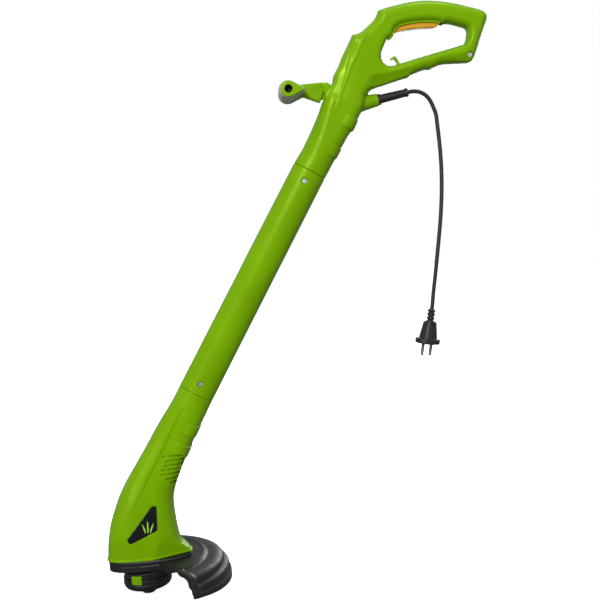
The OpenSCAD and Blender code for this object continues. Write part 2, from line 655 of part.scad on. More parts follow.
// Section of the guard from the hub outwards: radius and height, along the top and back underneath.
guard_section = [
    [24, -5], [100, -7], [112, -9.5], [120, -13], [rim_r - 1.2, -17.5], [rim_r, -22],
    [rim_r + 2.6, -23.5], [rim_r + 3.8, -30], [skirt_r, -48], [skirt_r - 2.6, -48],
    [rim_r + 1.2, -30.5], [rim_r, -26], [rim_r - 2.6, -24], [rim_r - 4, -19.5],
    [117.5, -15.6], [111, -12.5], [100, -10], [24, -8]];
skirt_rise = 0.196; // the skirt's lower edge climbs this much for each millimetre forwards
module guard() color(black) in_head() difference() {
    union() {
        translate([0, 0, -collar_h]) linear_extrude(collar_h) difference() {
            foot_outline();
            foot_outline(-2.5);
        }
        translate([0, 0, -web_t]) linear_extrude(web_t) foot_outline(-1);
        for (p = guard_posts) translate([p.x, p.y, guard_seat]) cylinder(r = 5.4, h = -guard_seat);
        difference() {
            rotate([0, 0, guard_near]) rotate_extrude(angle = guard_far - guard_near)
                polygon(guard_section);
            translate([skirt_r, 0, -48]) rotate([0, atan(skirt_rise), 0]) translate([-300, -200, -60])
                cube([310, 400, 60]);
        }
    }
    translate([0, 0, -40]) cylinder(r = shaft_hole_r, h = 50);
    translate([0, 0, -40]) linear_extrude(40 + guard_seat) foot_outline(-2.5);
    for (p = guard_posts) translate([p.x, p.y, -10]) cylinder(r = screw_r, h = 20);
    for (p = blade_holes) translate([0, 0, p.y]) rotate([0, 90, blade_angle]) cylinder(r = 1.4, h = 200);
}
module guard_screws() color(steel) in_head() for (p = guard_posts)
    translate([p.x, p.y, guard_seat]) rotate([180, 0, 0]) screw(18);
blade_angle = guard_near + 5;
blade_holes = [[0, -27], [0, -33]];
blade_face = rim_r + 0.6;
module line_cutter_blade() color(steel) in_head() rotate([0, 0, blade_angle]) difference() {
    union() {
        translate([blade_face - 0.9, -5, -36]) cube([1, 10, 13]);
        translate([line_reach + 0.8, -5, -24]) cube([blade_face - line_reach - 0.9, 1, 7]);
    }
    for (p = blade_holes) translate([100, 0, p.y]) rotate([0, 90, 0]) cylinder(r = 1.4, h = 60);
}
module blade_screws() color(steel) in_head() rotate([0, 0, blade_angle]) for (p = blade_holes)
    translate([blade_face - 0.9, 0, p.y]) rotate([0, -90, 0]) screw(3.6, 1.4, 2.4);

// ---------- Spool head ----------
drum_top = -18.5;
drum_step = -29;
drum_low = -48;
core_low = -44;
inner_r = drum_r - 5.1;
clip_angles = [-110, 70];
clip_size = [17, 13.5]; // width and height
clip_mid = -28.25;
line_angle = -15;
line_z = -22.5;
line_r = 0.7;
eyelet_r = 2.3;
hub_r = 9;
module clip_window(gap) for (a = clip_angles) rotate([0, 0, a])
    translate([inner_r - 4, -clip_size.x / 2 - gap, clip_mid - clip_size.y / 2 - gap])
        cube([20, clip_size.x + 2 * gap, clip_size.y + 2 * gap]);
module spool_housing() color(black) in_head() difference() {
    union() {
        ring(drum_r - 1.5, inner_r, drum_step, drum_top);
        ring(drum_r - 2.6, inner_r, core_low, drum_step);
        ring(inner_r + 0.5, hub_r, drum_top - 2.5, drum_top);
        ring(13, hub_r, drum_top - 2.5, -8.5);
    }
    clip_window(0.4);
    rotate([0, 90, line_angle]) translate([-line_z, 0, 25]) cylinder(r = eyelet_r, h = 20);
}
module line_eyelet() color(brass) in_head() rotate([0, 90, line_angle]) translate([-line_z, 0, 0])
    ring(eyelet_r, line_r + 0.3, inner_r - 1, drum_r - 0.4);
module cutting_line() color([0.9, 0.55, 0.1]) in_head() rotate([0, 90, line_angle])
    translate([-line_z, 0, 28.5]) cylinder(r = line_r, h = line_reach - 28.5);
module drive_hub() color(brass) in_head() ring(hub_r, shaft_r, drum_top - 2.5, -2);
module hub_nut() color(steel) in_head() translate([0, 0, -26]) difference() {
    cylinder(r = 7.5, h = 5, $fn = 6);
    translate([0, 0, -1]) cylinder(r = shaft_r, h = 7);
}
module spool_cap() color(black) in_head() difference() {
    rotate_extrude() polygon([
        [drum_r - 1, drum_step - 0.2], [drum_r, drum_step - 1.2], [drum_r, drum_low + 2],
        [drum_r - 2.5, drum_low - 1.2], [15, -55.5], [11.5, -56.5], [11.5, -53.4], [15, -52.8],
        [drum_r - 4, drum_low + 1.6], [drum_r - 2.55, drum_low + 3.2],
        [drum_r - 2.55, drum_step - 0.2]]);
    clip_window(0.4);
}
module release_clip(a) color(green) in_head() rotate([0, 0, a]) {
    intersection() {
        ring(drum_r + 0.2, inner_r - 2, clip_mid - clip_size.y / 2, clip_mid + clip_size.y / 2);
        translate([0, -clip_size.x / 2, -60]) cube([60, clip_size.x, 60]);
    }
    intersection() {
        ring(inner_r - 0.3, inner_r - 2, clip_mid - clip_size.y / 2 - 2, clip_mid + clip_size.y / 2);
        translate([0, -clip_size.x / 2 - 2, -60]) cube([60, clip_size.x + 4, 60]);
    }
}
module release_clip_left() release_clip(clip_angles[0]);
module release_clip_right() release_clip(clip_angles[1]);

flange_r = 27.5;
spool_z = [-46, -26.4];
spool_core_r = 14.5;
module spool() color(grey) in_head() {
    ring(spool_core_r, 12.2, spool_z[0] + 1.6, spool_z[1]);
    ring(flange_r, 12.2, spool_z[1] - 1.6, spool_z[1]);
    ring(flange_r, 5, spool_z[0], spool_z[0] + 1.6);
}
module wound_line() color([0.9, 0.55, 0.1]) in_head()
    ring(24, spool_core_r, spool_z[0] + 1.6, spool_z[1] - 1.6);
spring_z = [-44, -21.4];
module feed_spring() color(steel) in_head() {
    pitch = (spring_z[1] - spring_z[0]) / 6;
    for (i = [0:6]) translate([0, 0, spring_z[0] + 0.6 + i * (pitch - 0.2)])
        rotate_extrude() translate([10.6, 0]) circle(r = 0.6);
    for (a = [0, 180]) rotate([0, 0, a]) translate([10.6, 0, spring_z[0] + 0.5])
        cylinder(r = 0.45, h = 6 * (pitch - 0.2));
}
module bump_knob() color(black) in_head() rotate_extrude() polygon([
    [0, -60], [8.5, -60], [10.2, -59.3], [11, -57.8], [11, -52.4], [14, -52], [14, -49],
    [11, -48.6], [11, spool_z[0]], [0, spool_z[0]]]);

handle_housing_left();
handle_housing_right();
handle_screws();
trigger();
trigger_pin();
trigger_spring();
switch_body();
switch_plunger();
suppression_capacitor();
cable_clamp();
clamp_screws();
strain_relief();
cord_tail();
mains_cord();
plug_body();
plug_pins();
live_lead();
switched_lead();
neutral_lead();
grip_arm();
grip_arm_bolt();
grip_sleeves();
grip_caps();
grip_cap_screws();
shaft_tube();
tube_joint_screws();
motor_housing_left();
motor_housing_right();
motor_housing_screws();
badge_left();
badge_right();
motor_stator();
field_coils();
motor_bracket();
motor_end_cap();
lower_bearing();
upper_bearing();
brush_holders();
carbon_brushes();
motor_shaft();
armature();
commutator();
cooling_fan();
drive_hub();
hub_nut();
guard();
guard_screws();
line_cutter_blade();
blade_screws();
spool_housing();
line_eyelet();
cutting_line();
spool_cap();
release_clip_left();
release_clip_right();
spool();
wound_line();
feed_spring();
bump_knob();
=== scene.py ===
"""A corded string trimmer: green moulded housings on a leaning tube, with a black guard and
spool head at the foot and a short mains lead. Shapes are worked out in millimetres, in the
part's own frame, and turned into metres when a mesh is made."""

import json
import math

import bpy
import numpy as np
from mathutils import Matrix, Vector


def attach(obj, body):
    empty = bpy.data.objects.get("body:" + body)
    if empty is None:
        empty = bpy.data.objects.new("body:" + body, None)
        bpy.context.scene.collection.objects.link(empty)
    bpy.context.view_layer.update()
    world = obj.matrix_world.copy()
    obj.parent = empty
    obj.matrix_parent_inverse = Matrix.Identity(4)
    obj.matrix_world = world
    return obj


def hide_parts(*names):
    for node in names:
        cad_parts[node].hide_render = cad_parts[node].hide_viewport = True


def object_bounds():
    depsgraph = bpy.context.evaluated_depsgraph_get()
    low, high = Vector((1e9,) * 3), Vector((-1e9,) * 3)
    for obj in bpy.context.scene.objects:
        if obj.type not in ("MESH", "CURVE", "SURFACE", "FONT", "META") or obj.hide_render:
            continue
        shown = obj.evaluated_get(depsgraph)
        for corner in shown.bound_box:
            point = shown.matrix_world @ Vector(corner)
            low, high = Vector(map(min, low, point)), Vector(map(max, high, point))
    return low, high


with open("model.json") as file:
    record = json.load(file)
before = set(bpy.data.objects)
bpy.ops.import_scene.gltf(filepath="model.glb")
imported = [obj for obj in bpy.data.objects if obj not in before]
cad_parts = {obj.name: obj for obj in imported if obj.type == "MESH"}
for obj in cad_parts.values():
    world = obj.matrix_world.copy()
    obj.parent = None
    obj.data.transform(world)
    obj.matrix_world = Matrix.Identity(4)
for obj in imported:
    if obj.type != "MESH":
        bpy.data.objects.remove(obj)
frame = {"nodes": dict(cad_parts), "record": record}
cad_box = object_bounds()
nodes = frame["nodes"]
MM = 0.001
SIDES = {"left": -1, "right": 1}

# ---------- Frames ----------
LEAN = math.radians(27.2)
TUBE_FOOT = (-351.5, -577.8)
TUBE_HEAD = (-175.5, -235.7)
TUBE_LEN = math.dist(TUBE_FOOT, TUBE_HEAD)
TUBE_LOW_R, TUBE_TOP_R, TUBE_FLAT = 28, 26.2, 0.82
HEAD_MID = (-435.3, -839.1)
HEAD_TILT = math.radians(5.5)
GLAND_MID = (-71.3, -128)
GLAND_RISE = math.radians(14)
BAR_MID = (-208.5, -117.7)
PLUG_TOP = (15.5, -448.8)
PLUG_TILT, PLUG_TURN = math.radians(6.7), math.radians(40)


def place(mid, turn=0.0, spin=0.0):
    """The matrix of a frame at mid in X and Z, turned about Y and then spun about its own axis."""
    shift = Matrix.Translation((mid[0], 0, mid[1]))
    return shift @ Matrix.Rotation(turn, 4, "Y") @ Matrix.Rotation(spin, 4, "Z")


WORLD = Matrix.Identity(4)
TUBE = place(TUBE_FOOT, LEAN)
HEAD = place(HEAD_MID, -HEAD_TILT)
GLAND = place(GLAND_MID, math.pi / 2 - GLAND_RISE)
PLUG = place(PLUG_TOP, PLUG_TILT, PLUG_TURN)


def add_object(name, data):
    thing = bpy.data.objects.new(name, data)
    bpy.context.scene.collection.objects.link(thing)
    return thing


# ---------- Camera ----------
def make_camera():
    data = bpy.data.cameras.new("camera")
    data.lens = 58.4
    data.sensor_width = 36
    camera = add_object("camera", data)
    camera.location = (-0.2365, -1.5, -0.279)
    aim = Vector((-0.19, 0, -0.434))
    camera.rotation_euler = (aim - camera.location).to_track_quat("-Z", "Y").to_euler()
    bpy.context.scene.camera = camera


make_camera()


# ---------- Materials ----------
def new_material(name, colour, roughness, metallic=0.0):
    mat = bpy.data.materials.new(name)
    mat.use_nodes = True
    shader = mat.node_tree.nodes["Principled BSDF"]
    shader.inputs["Base Color"].default_value = (*colour, 1)
    shader.inputs["Roughness"].default_value = roughness
    shader.inputs["Metallic"].default_value = metallic
    return mat


def add_noise(mat, scale, detail=3.0, stretch=(1, 1, 1), rough=0.5):
    """A noise of that many grains a metre, in the piece's own coordinates."""
    tree = mat.node_tree
    coords = tree.nodes.new("ShaderNodeTexCoord")
    mapping = tree.nodes.new("ShaderNodeMapping")
    noise = tree.nodes.new("ShaderNodeTexNoise")
    mapping.inputs["Scale"].default_value = stretch
    noise.inputs["Scale"].default_value = scale
    noise.inputs["Detail"].default_value = detail
    noise.inputs["Roughness"].default_value = rough
    tree.links.new(coords.outputs["Object"], mapping.inputs["Vector"])
    tree.links.new(mapping.outputs["Vector"], noise.inputs["Vector"])
    return noise.outputs["Fac"]


def map_range(tree, value, start, end, low, high):
    node = tree.nodes.new("ShaderNodeMapRange")
    for socket, number in (("From Min", start), ("From Max", end), ("To Min", low), ("To Max", high)):
        node.inputs[socket].default_value = number
    tree.links.new(value, node.inputs["Value"])
    return node


def ramp(mat, value, low, high, start=0.3, end=0.7):
    """Maps value from start-end to low-high, which are numbers or colours."""
    tree = mat.node_tree
    if isinstance(low, tuple):
        node = tree.nodes.new("ShaderNodeValToRGB")
        node.color_ramp.elements[0].position = start
        node.color_ramp.elements[1].position = end
        node.color_ramp.elements[0].color = (*low, 1)
        node.color_ramp.elements[1].color = (*high, 1)
        tree.links.new(value, node.inputs["Fac"])
        return node.outputs["Color"]
    return map_range(tree, value, start, end, low, high).outputs["Result"]


def link(mat, value, socket):
    mat.node_tree.links.new(value, mat.node_tree.nodes["Principled BSDF"].inputs[socket])


def add_bump(mat, heights):
    """Bumps stacked on each other: (value, depth in metres) pairs."""
    tree = mat.node_tree
    before = None
    for value, depth in heights:
        bump = tree.nodes.new("ShaderNodeBump")
        bump.inputs["Strength"].default_value = 1
        bump.inputs["Distance"].default_value = depth
        tree.links.new(value, bump.inputs["Height"])
        if before:
            tree.links.new(before, bump.inputs["Normal"])
        before = bump.outputs["Normal"]
    link(mat, before, "Normal")


def shade(colour, by):
    return tuple(c * by for c in colour)


def plastic(name, colour, roughness, grain=2200, depth=0.00002, spread=0.12, shine=0.34, tint=(1, 1, 1)):
    """Moulded plastic: slow drifts of tone from the flow, a fine grain and rubbed, shinier patches."""
    mat = new_material(name, colour, roughness)
    shader = mat.node_tree.nodes["Principled BSDF"]
    shader.inputs["Specular IOR Level"].default_value = shine
    shader.inputs["Specular Tint"].default_value = (*tint, 1)
    drift = add_noise(mat, 14, 4)
    link(mat, ramp(mat, drift, shade(colour, 1 - spread), shade(colour, 1 + spread)), "Base Color")
    rub = add_noise(mat, 60, 6, (1, 1, 2.2), 0.65)
    link(mat, ramp(mat, rub, roughness * 0.8, min(roughness * 1.25, 1)), "Roughness")
    add_bump(mat, [(add_noise(mat, 90, 2), depth * 2), (add_noise(mat, grain, 2), depth)])
    return mat


def rubber(name, colour, roughness, grain=1600):
    """Soft rubber: matt, with a dusty bloom in places and a pebbled skin."""
    mat = new_material(name, colour, roughness)
    dust = add_noise(mat, 45, 5)
    link(mat, ramp(mat, dust, shade(colour, 0.85), shade(colour, 1.3)), "Base Color")
    link(mat, ramp(mat, add_noise(mat, 130, 3), roughness * 0.85, min(roughness * 1.15, 1)), "Roughness")
    add_bump(mat, [(add_noise(mat, grain, 3), 0.00005)])
    return mat


def metal(name, colour, roughness, stretch=(1, 1, 14), scale=500):
    """Worked metal: fine lines along one way, and duller patches where it has been handled."""
    mat = new_material(name, colour, roughness, 1.0)
    lines = add_noise(mat, scale, 3, stretch)
    link(mat, ramp(mat, lines, shade(colour, 0.85), shade(colour, 1.08)), "Base Color")
    link(mat, ramp(mat, add_noise(mat, 160, 5), roughness * 0.75, roughness * 1.4), "Roughness")
    add_bump(mat, [(lines, 0.000012)])
    return mat


GREEN = plastic("green_plastic", (0.164, 0.360, 0.0006), 0.32, spread=0.07, tint=(0.75, 1.0, 0.16))
AMBER = plastic("amber_plastic", (0.62, 0.30, 0.02), 0.34, tint=(1.0, 0.9, 0.5))
BLACK = plastic("black_plastic", (0.0085, 0.0085, 0.0095), 0.43, 1500, 0.00003, 0.2, 0.36)
GLOSS_BLACK = plastic("badge_black", (0.006, 0.006, 0.006), 0.24, 2600, 0.000008, 0.15)
GREY = plastic("grey_plastic", (0.30, 0.30, 0.31), 0.5, 1800)
PALE_GREEN = plastic("badge_green", (0.34, 0.62, 0.05), 0.38)
CORD = rubber("cord_rubber", (0.010, 0.010, 0.011), 0.46)
GREY_RUBBER = rubber("grey_rubber", (0.40, 0.40, 0.40), 0.62, 1300)
STEEL = metal("screw_steel", (0.58, 0.58, 0.57), 0.42)
DARK_STEEL = metal("near_black_steel", (0.035, 0.035, 0.037), 0.5)
BLADE = metal("blade_steel", (0.62, 0.62, 0.63), 0.32)
PLATING = metal("pin_plating", (0.24, 0.24, 0.25), 0.6)
DIE_CAST = metal("die_cast", (0.45, 0.45, 0.46), 0.5, (1, 1, 1), 900)
IRON = metal("lamination_iron", (0.22, 0.22, 0.23), 0.5, (1, 1, 40), 1200)
COPPER = metal("copper", (0.70, 0.27, 0.10), 0.3, (30, 1, 1), 800)
BRASS = metal("brass", (0.72, 0.50, 0.16), 0.3)
CARBON = plastic("carbon", (0.03, 0.03, 0.03), 0.7)
LINE = plastic("nylon_line", (0.75, 0.32, 0.03), 0.3)
LEAD_COLOURS = {"brown": (0.12, 0.05, 0.02), "black": (0.02, 0.02, 0.02), "blue": (0.02, 0.08, 0.30)}
LEADS = {f"lead_{word}": rubber(f"lead_{word}", tone, 0.5) for word, tone in LEAD_COLOURS.items()}
CASE = plastic("capacitor_case", (0.62, 0.45, 0.10), 0.4)
FINISHES = {
    "green_plastic": GREEN, "amber_plastic": AMBER, "black_plastic": BLACK, "cord_rubber": CORD,
    "grey_rubber": GREY_RUBBER, "grey_plastic": GREY, "screw_steel": STEEL, "blade_steel": BLADE,
    "pin_plating": PLATING, "die_cast": DIE_CAST, "lamination_iron": IRON, "copper": COPPER,
    "brass": BRASS, "carbon": CARBON, "nylon_line": LINE, "capacitor_case": CASE, **LEADS,
}


# ---------- Making meshes ----------
LATHE_SHARP, NET_SHARP, GUARD_SHARP = 32, 40, 30
PROBE = 0.05


def add_piece(name, points, faces, body, material, replaced, sharp, at):
    """A piece from points in millimetres in the frame at, smooth but for edges over sharp degrees."""
    mesh = bpy.data.meshes.new(name)
    grid = np.asarray(points, float)
    turn = np.array(at)
    grid = (grid @ turn[:3, :3].T + turn[:3, 3]) * MM
    mesh.from_pydata(grid.tolist(), [], [list(map(int, f)) for f in faces])
    mesh.validate()
    mesh.polygons.foreach_set("use_smooth", [True] * len(mesh.polygons))
    mesh.set_sharp_from_angle(angle=math.radians(sharp))
    mesh.materials.append(material)
    piece = add_object(name, mesh)
    if replaced:
        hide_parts(*replaced)
    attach(piece, body)
    return piece


def net(shape, low, high, step):
    """The zero surface of shape(x, y, z), which is negative inside: points and quads."""
    axes = [np.arange(a, b + step, step, dtype=np.float32) for a, b in zip(low, high)]
    value = shape(axes[0][:, None, None], axes[1][None, :, None], axes[2][None, None, :])
    value = np.ascontiguousarray(np.broadcast_to(value, [len(a) for a in axes]), np.float32)
    inside = value < 0
    size = [n - 1 for n in inside.shape]
    corners = [inside[i : i + size[0], j : j + size[1], k : k + size[2]]
               for i in (0, 1) for j in (0, 1) for k in (0, 1)]
    crossed = np.logical_or.reduce(corners) & ~np.logical_and.reduce(corners)
    cells = np.argwhere(crossed)
    index = np.full(crossed.shape, -1, np.int64)
    index[tuple(cells.T)] = np.arange(len(cells))
    total = np.zeros((len(cells), 3))
    count = np.zeros(len(cells))
    quads = []
    for axis in range(3):
        others = [a for a in range(3) if a != axis]
        unit = np.eye(3, dtype=int)[axis]
        for p, q in ((0, 0), (0, 1), (1, 0), (1, 1)):
            start = cells.copy()
            start[:, others[0]] += p
            start[:, others[1]] += q
            v0 = value[tuple(start.T)]
            v1 = value[tuple((start + unit).T)]
            hit = (v0 < 0) != (v1 < 0)
            part = np.where(hit, v0 / np.where(hit, v0 - v1, 1), 0)
            total += np.where(hit[:, None], start + part[:, None] * unit, 0)
            count += hit
        ahead = [slice(None)] * 3
        behind = [slice(None)] * 3
        ahead[axis], behind[axis] = slice(1, None), slice(None, -1)
        edges = np.argwhere(inside[tuple(behind)] != inside[tuple(ahead)])
        edges = edges[(edges[:, others[0]] > 0) & (edges[:, others[1]] > 0)]
        edges = edges[(edges[:, others[0]] < size[others[0]]) & (edges[:, others[1]] < size[others[1]])]
        ring = []
        for p, q in ((1, 1), (0, 1), (0, 0), (1, 0)):
            cell = edges.copy()
            cell[:, others[0]] -= p
            cell[:, others[1]] -= q
            ring.append(index[tuple(cell.T)])
        ring = np.stack(ring, 1)
        outward = inside[tuple(edges.T)] ^ (axis == 1)
        quads.append(np.where(outward[:, None], ring, ring[:, ::-1]))
    points = np.asarray(low) + step * total / count[:, None]
    return settle(shape, points, step), np.concatenate(quads)


def settle(shape, points, step, rounds=3):
    """Moves points on to the zero surface of shape, along its slope."""
    for _ in range(rounds):
        x, y, z = points.T
        value = shape(x, y, z)
        slope = np.stack([shape(x + PROBE, y, z) - value, shape(x, y + PROBE, z) - value,
                          shape(x, y, z + PROBE) - value], 1) / PROBE
        size = np.maximum((slope**2).sum(1), 0.04)
        move = slope * (value / size)[:, None]
        reach = np.linalg.norm(move, axis=1)
        points = points - move * np.minimum(1, 0.6 * step / np.maximum(reach, 1e-9))[:, None]
    return points


def add_net(name, shape, low, high, step, body, material, replaced=(), at=WORLD):
    """A piece from the zero surface of shape, looked for between the corners low and high."""
    points, quads = net(shape, low, high, step)
    return add_piece(name, points, quads, body, material, replaced, NET_SHARP, at)


def ring_faces(m, n, closed):
    """Quads between n rings of m points, and from the last ring to the first if closed."""
    return [(i * m + k, i * m + (k + 1) % m, (i + 1) % n * m + (k + 1) % m, (i + 1) % n * m + k)
            for i in range(n if closed else n - 1) for k in range(m)]


def add_lathe(name, profile, body, material, replaced, at, around=96):
    """A piece from a closed profile of (radius, height), turned all the way round Z."""
    turns = np.radians(np.linspace(0, 360, around, endpoint=False))
    points = [(r * math.cos(a), r * math.sin(a), h) for a in turns for r, h in profile]
    faces = ring_faces(len(profile), around, True)
    return add_piece(name, points, faces, body, material, replaced, LATHE_SHARP, at)


# ---------- Shapes as distances, in millimetres, negative inside ----------
def smooth_max(a, b, r):
    """The larger of a and b, rounded where they are within r of each other."""
    mix = np.maximum(r - np.abs(a - b), 0) / r
    return np.maximum(a, b) + mix * mix * r / 4


def smooth_min(a, b, r):
    return -smooth_max(-a, -b, r)


def fade(value, start, end):
    """0 before start and 1 after end, with a smooth turn between."""
    t = np.clip((value - start) / (end - start), 0, 1)
    return t * t * (3 - 2 * t)


def curve(points, steps=6):
    """A smooth curve through the points, ends included."""
    p = np.array([points[0], *points, points[-1]], float)
    t = np.arange(steps)[:, None] / steps
    runs = [b + t / 2 * (c - a + t * (2 * a - 5 * b + 4 * c - d + t * (3 * (b - c) + d - a)))
            for a, b, c, d in zip(p, p[1:], p[2:], p[3:])]
    return np.concatenate([*runs, p[-1:]])


def outline(*runs):
    """A closed outline of smooth runs, with a corner where one run ends and the next starts."""
    return np.concatenate([curve(run)[:-1] for run in runs])


def inside_of(path, x, z):
    """Distance to a closed path in X and Z, negative inside it."""
    x, z = np.broadcast_arrays(x, z)
    nearest = np.full(x.shape, 1e9)
    within = np.zeros(x.shape, bool)
    for (ax, az), (bx, bz) in zip(path, np.roll(path, -1, 0)):
        ex, ez = bx - ax, bz - az
        px, pz = x - ax, z - az
        t = np.clip((px * ex + pz * ez) / (ex * ex + ez * ez), 0, 1)
        nearest = np.minimum(nearest, (px - t * ex) ** 2 + (pz - t * ez) ** 2)
        within ^= ((az > z) != (bz > z)) & (px * ez - pz * ex < 0 if ez > 0 else px * ez - pz * ex > 0)
    return np.where(within, -1, 1) * np.sqrt(nearest)


def up_tube(end, x, z):
    """Distances up the tube's axis from its end, and to the rear of the axis."""
    x, z = x - end[0], z - end[1]
    return x * math.sin(LEAN) + z * math.cos(LEAN), x * math.cos(LEAN) - z * math.sin(LEAN)


def right_of(a, b, x, z):
    """Distance to the right of the line from a to b, seen from the near side."""
    return ((b[1] - a[1]) * (x - a[0]) - (b[0] - a[0]) * (z - a[1])) / math.dist(a, b)


def bar_shape(mid, r, x, z):
    """Distance to a round bar of radius r across the middle plane."""
    return np.hypot(x - mid[0], z - mid[1]) - r


def between(value, start, end):
    """Negative where value is between start and end."""
    return np.abs(value - (start + end) / 2) - (end - start) / 2


def block(x, y, z, half, r):
    """A box with rounded edges about the origin."""
    q = [np.abs(v) - h + r for v, h in zip((x, y, z), half)]
    out = sum(np.maximum(v, 0) ** 2 for v in q) ** 0.5
    return out + np.minimum(np.maximum(np.maximum(q[0], q[1]), q[2]), 0) - r


def to_frame(at, x, y, z):
    """Grip-frame coordinates as seen in the frame at."""
    back = at.inverted()
    return [back[i][0] * x + back[i][1] * y + back[i][2] * z + back[i][3] for i in range(3)]


def inflate(depth, hole, y, r, hole_r, half_width, power):
    """A body rounded to its half width over r from its outline and over hole_r from its opening."""
    edge = np.maximum(1 - depth / r, 0) ** power + np.maximum(1 - hole / hole_r, 0) ** power
    side = (np.abs(y) / half_width) ** power
    return ((edge + side) ** (1 / power) - 1) * np.minimum(r, half_width)


def pad(value, along, low, high, lift):
    """Lifts the surface of value by lift where along is between low and high."""
    return smooth_min(value, smooth_max(value - lift, between(along, low, high), 0.9), 0.4)


def half_of(shape, side, gap=0.12):
    """One moulded half: shape on that side of the middle plane, with a softened edge at the seam."""
    return lambda x, y, z: smooth_max(shape(x, y, z), gap - side * y, 1.0)


def side_range(side, near, far):
    """The range of Y from near to far on that side of the middle plane, lowest first."""
    return sorted((side * near, side * far))


# ---------- Mains lead ----------
RELIEF_LEN = 47
relief_way = np.array([math.cos(GLAND_RISE), math.sin(GLAND_RISE)])
relief_tip = np.array(GLAND_MID) + RELIEF_LEN * relief_way
plug_up = np.array([math.sin(PLUG_TILT), math.cos(PLUG_TILT)])
CORD_ROUTE = [
    relief_tip, (-18.3, -115.4), (-11.5, -115.6), (-5, -117.4), (1, -120.8), (6, -125.6),
    (10.2, -132.2), (14.1, -140.5), (17.7, -150.1), (20.3, -168), (22.7, -185.5), (25.1, -206),
    (27, -229), (28, -254), (28, -280), (27, -308), (25, -337), (22.5, -368), (20, -398),
    (17.5, -424), PLUG_TOP + 7 * plug_up, PLUG_TOP,
]
CORD_R = 3.1
PIN_R, PIN_OUT = 2.4, 9.5


def path_length(points):
    return sum(math.dist(a, b) for a, b in zip(points, points[1:]))


def add_cord():
    """The free cord: one smooth open line through the route."""
    line = curve(CORD_ROUTE, 5)
    data = bpy.data.curves.new("mains_cord_run", "CURVE")
    data.dimensions = "3D"
    data.bevel_depth = CORD_R * MM
    data.bevel_resolution = 8
    data.use_fill_caps = True
    spline = data.splines.new("POLY")
    spline.points.add(len(line) - 1)
    for point, (x, z) in zip(spline.points, line):
        point.co = (x * MM, 0, z * MM, 1)
    spline.use_smooth = True
    data.materials.append(CORD)
    cord = add_object("mains_cord_run", data)
    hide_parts("mains_cord")
    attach(cord, "body")
    return cord, path_length(line) * MM


def ribs(z0, z1, count, r0, r1, depth):
    """Points of a tapered sleeve with count grooves, from (r0, z0) to (r1, z1)."""
    points = []
    for i in range(count):
        for part, cut in ((0, 0), (0.6, 0), (0.7, depth), (0.9, depth)):
            t = (i + part) / count
            points.append((r0 + (r1 - r0) * t - cut, z0 + (z1 - z0) * t))
    return [*points, (r1, z1)]


def add_strain_relief():
    """The grooved sleeve round the cord where it leaves the handle."""
    profile = [(0, -8), (5.3, -8), (5.3, 0.2), (8.2, 0.3), (8.6, 0.8), (8.6, 2.6), (8.2, 3.2), (7.1, 3.6),
               *ribs(5, 41, 9, 6.8, 6.0, 0.45), (6.0, 42), (6.5, 42.6), (6.5, 46), (6.1, 46.6),
               (4.0, RELIEF_LEN), (3.2, 46.4), (0, 46.4)]
    return add_lathe("strain_relief_sleeve", profile, "body", CORD, ["strain_relief"],
                     GLAND, 64)


def plug_shape(x, y, z):
    """Body, waist and flange of the plug, along -Z from the end of its sleeve."""
    down = -z
    neck = np.hypot(x, y) - 5.4 - 0.95 * np.cos((down - 2.6) * math.pi / 2.9)
    neck = smooth_max(neck, np.abs(down - 10.5) - 10.4, 0.8)
    reach = 9.2 + 4.8 * fade(down, 10, 52)
    turn = (np.abs(x / reach) ** 3 + np.abs(y / (reach * 0.84)) ** 3) ** (1 / 3)
    body = smooth_max((turn - 1) * reach, np.abs(down - 34) - 14.2, 0.8)
    body = np.minimum(body, smooth_max(np.hypot(x, y * 1.1) - 7.4, np.abs(down - 22) - 3.8, 0.8))
    grip = np.maximum(np.abs(x) - 4.2 - down * 0.05, np.abs(down - 33.5) - 11)
    body = smooth_max(body, -smooth_max(grip, reach * 0.84 - 1.1 - np.abs(y), 0.5), 0.6)
    disc = ((np.abs(x / 20) ** 2.3 + np.abs(y / 16.8) ** 2.3) ** (1 / 2.3) - 1) * 18
    flange = smooth_max(disc, np.abs(down - 50) - 4, 1.6)
    return smooth_min(smooth_min(neck, body, 1.2), flange, 2.4)


def add_plug():
    """The moulded plug with its two round pins."""
    plug = add_net("plug_moulding", plug_shape, (-21, -18, -55), (21, 18, 1), 0.5, "body", CORD,
                   ["plug_body"], PLUG)
    pins = []
    tip = [(PIN_R - 1.1 * (1 - math.cos(math.radians(a))), -72.2 - 1.4 * math.sin(math.radians(a)))
           for a in range(0, 91, 15)]
    profile = [(0, -53), (PIN_R, -53), (PIN_R, -62.8), (2.35, -63), (PIN_R, -63.2), *tip, (0, -73.6)]
    for name, x in (("plug_pin_a", PIN_OUT), ("plug_pin_b", -PIN_OUT)):
        at = PLUG @ Matrix.Translation((x, 0, 0))
        pins.append(add_lathe(name, profile, "body", PLATING, ["plug_pins"], at, 40))
    return [plug, *pins]


cord, cord_length = add_cord()
lead_pieces = [add_strain_relief(), *add_plug()]

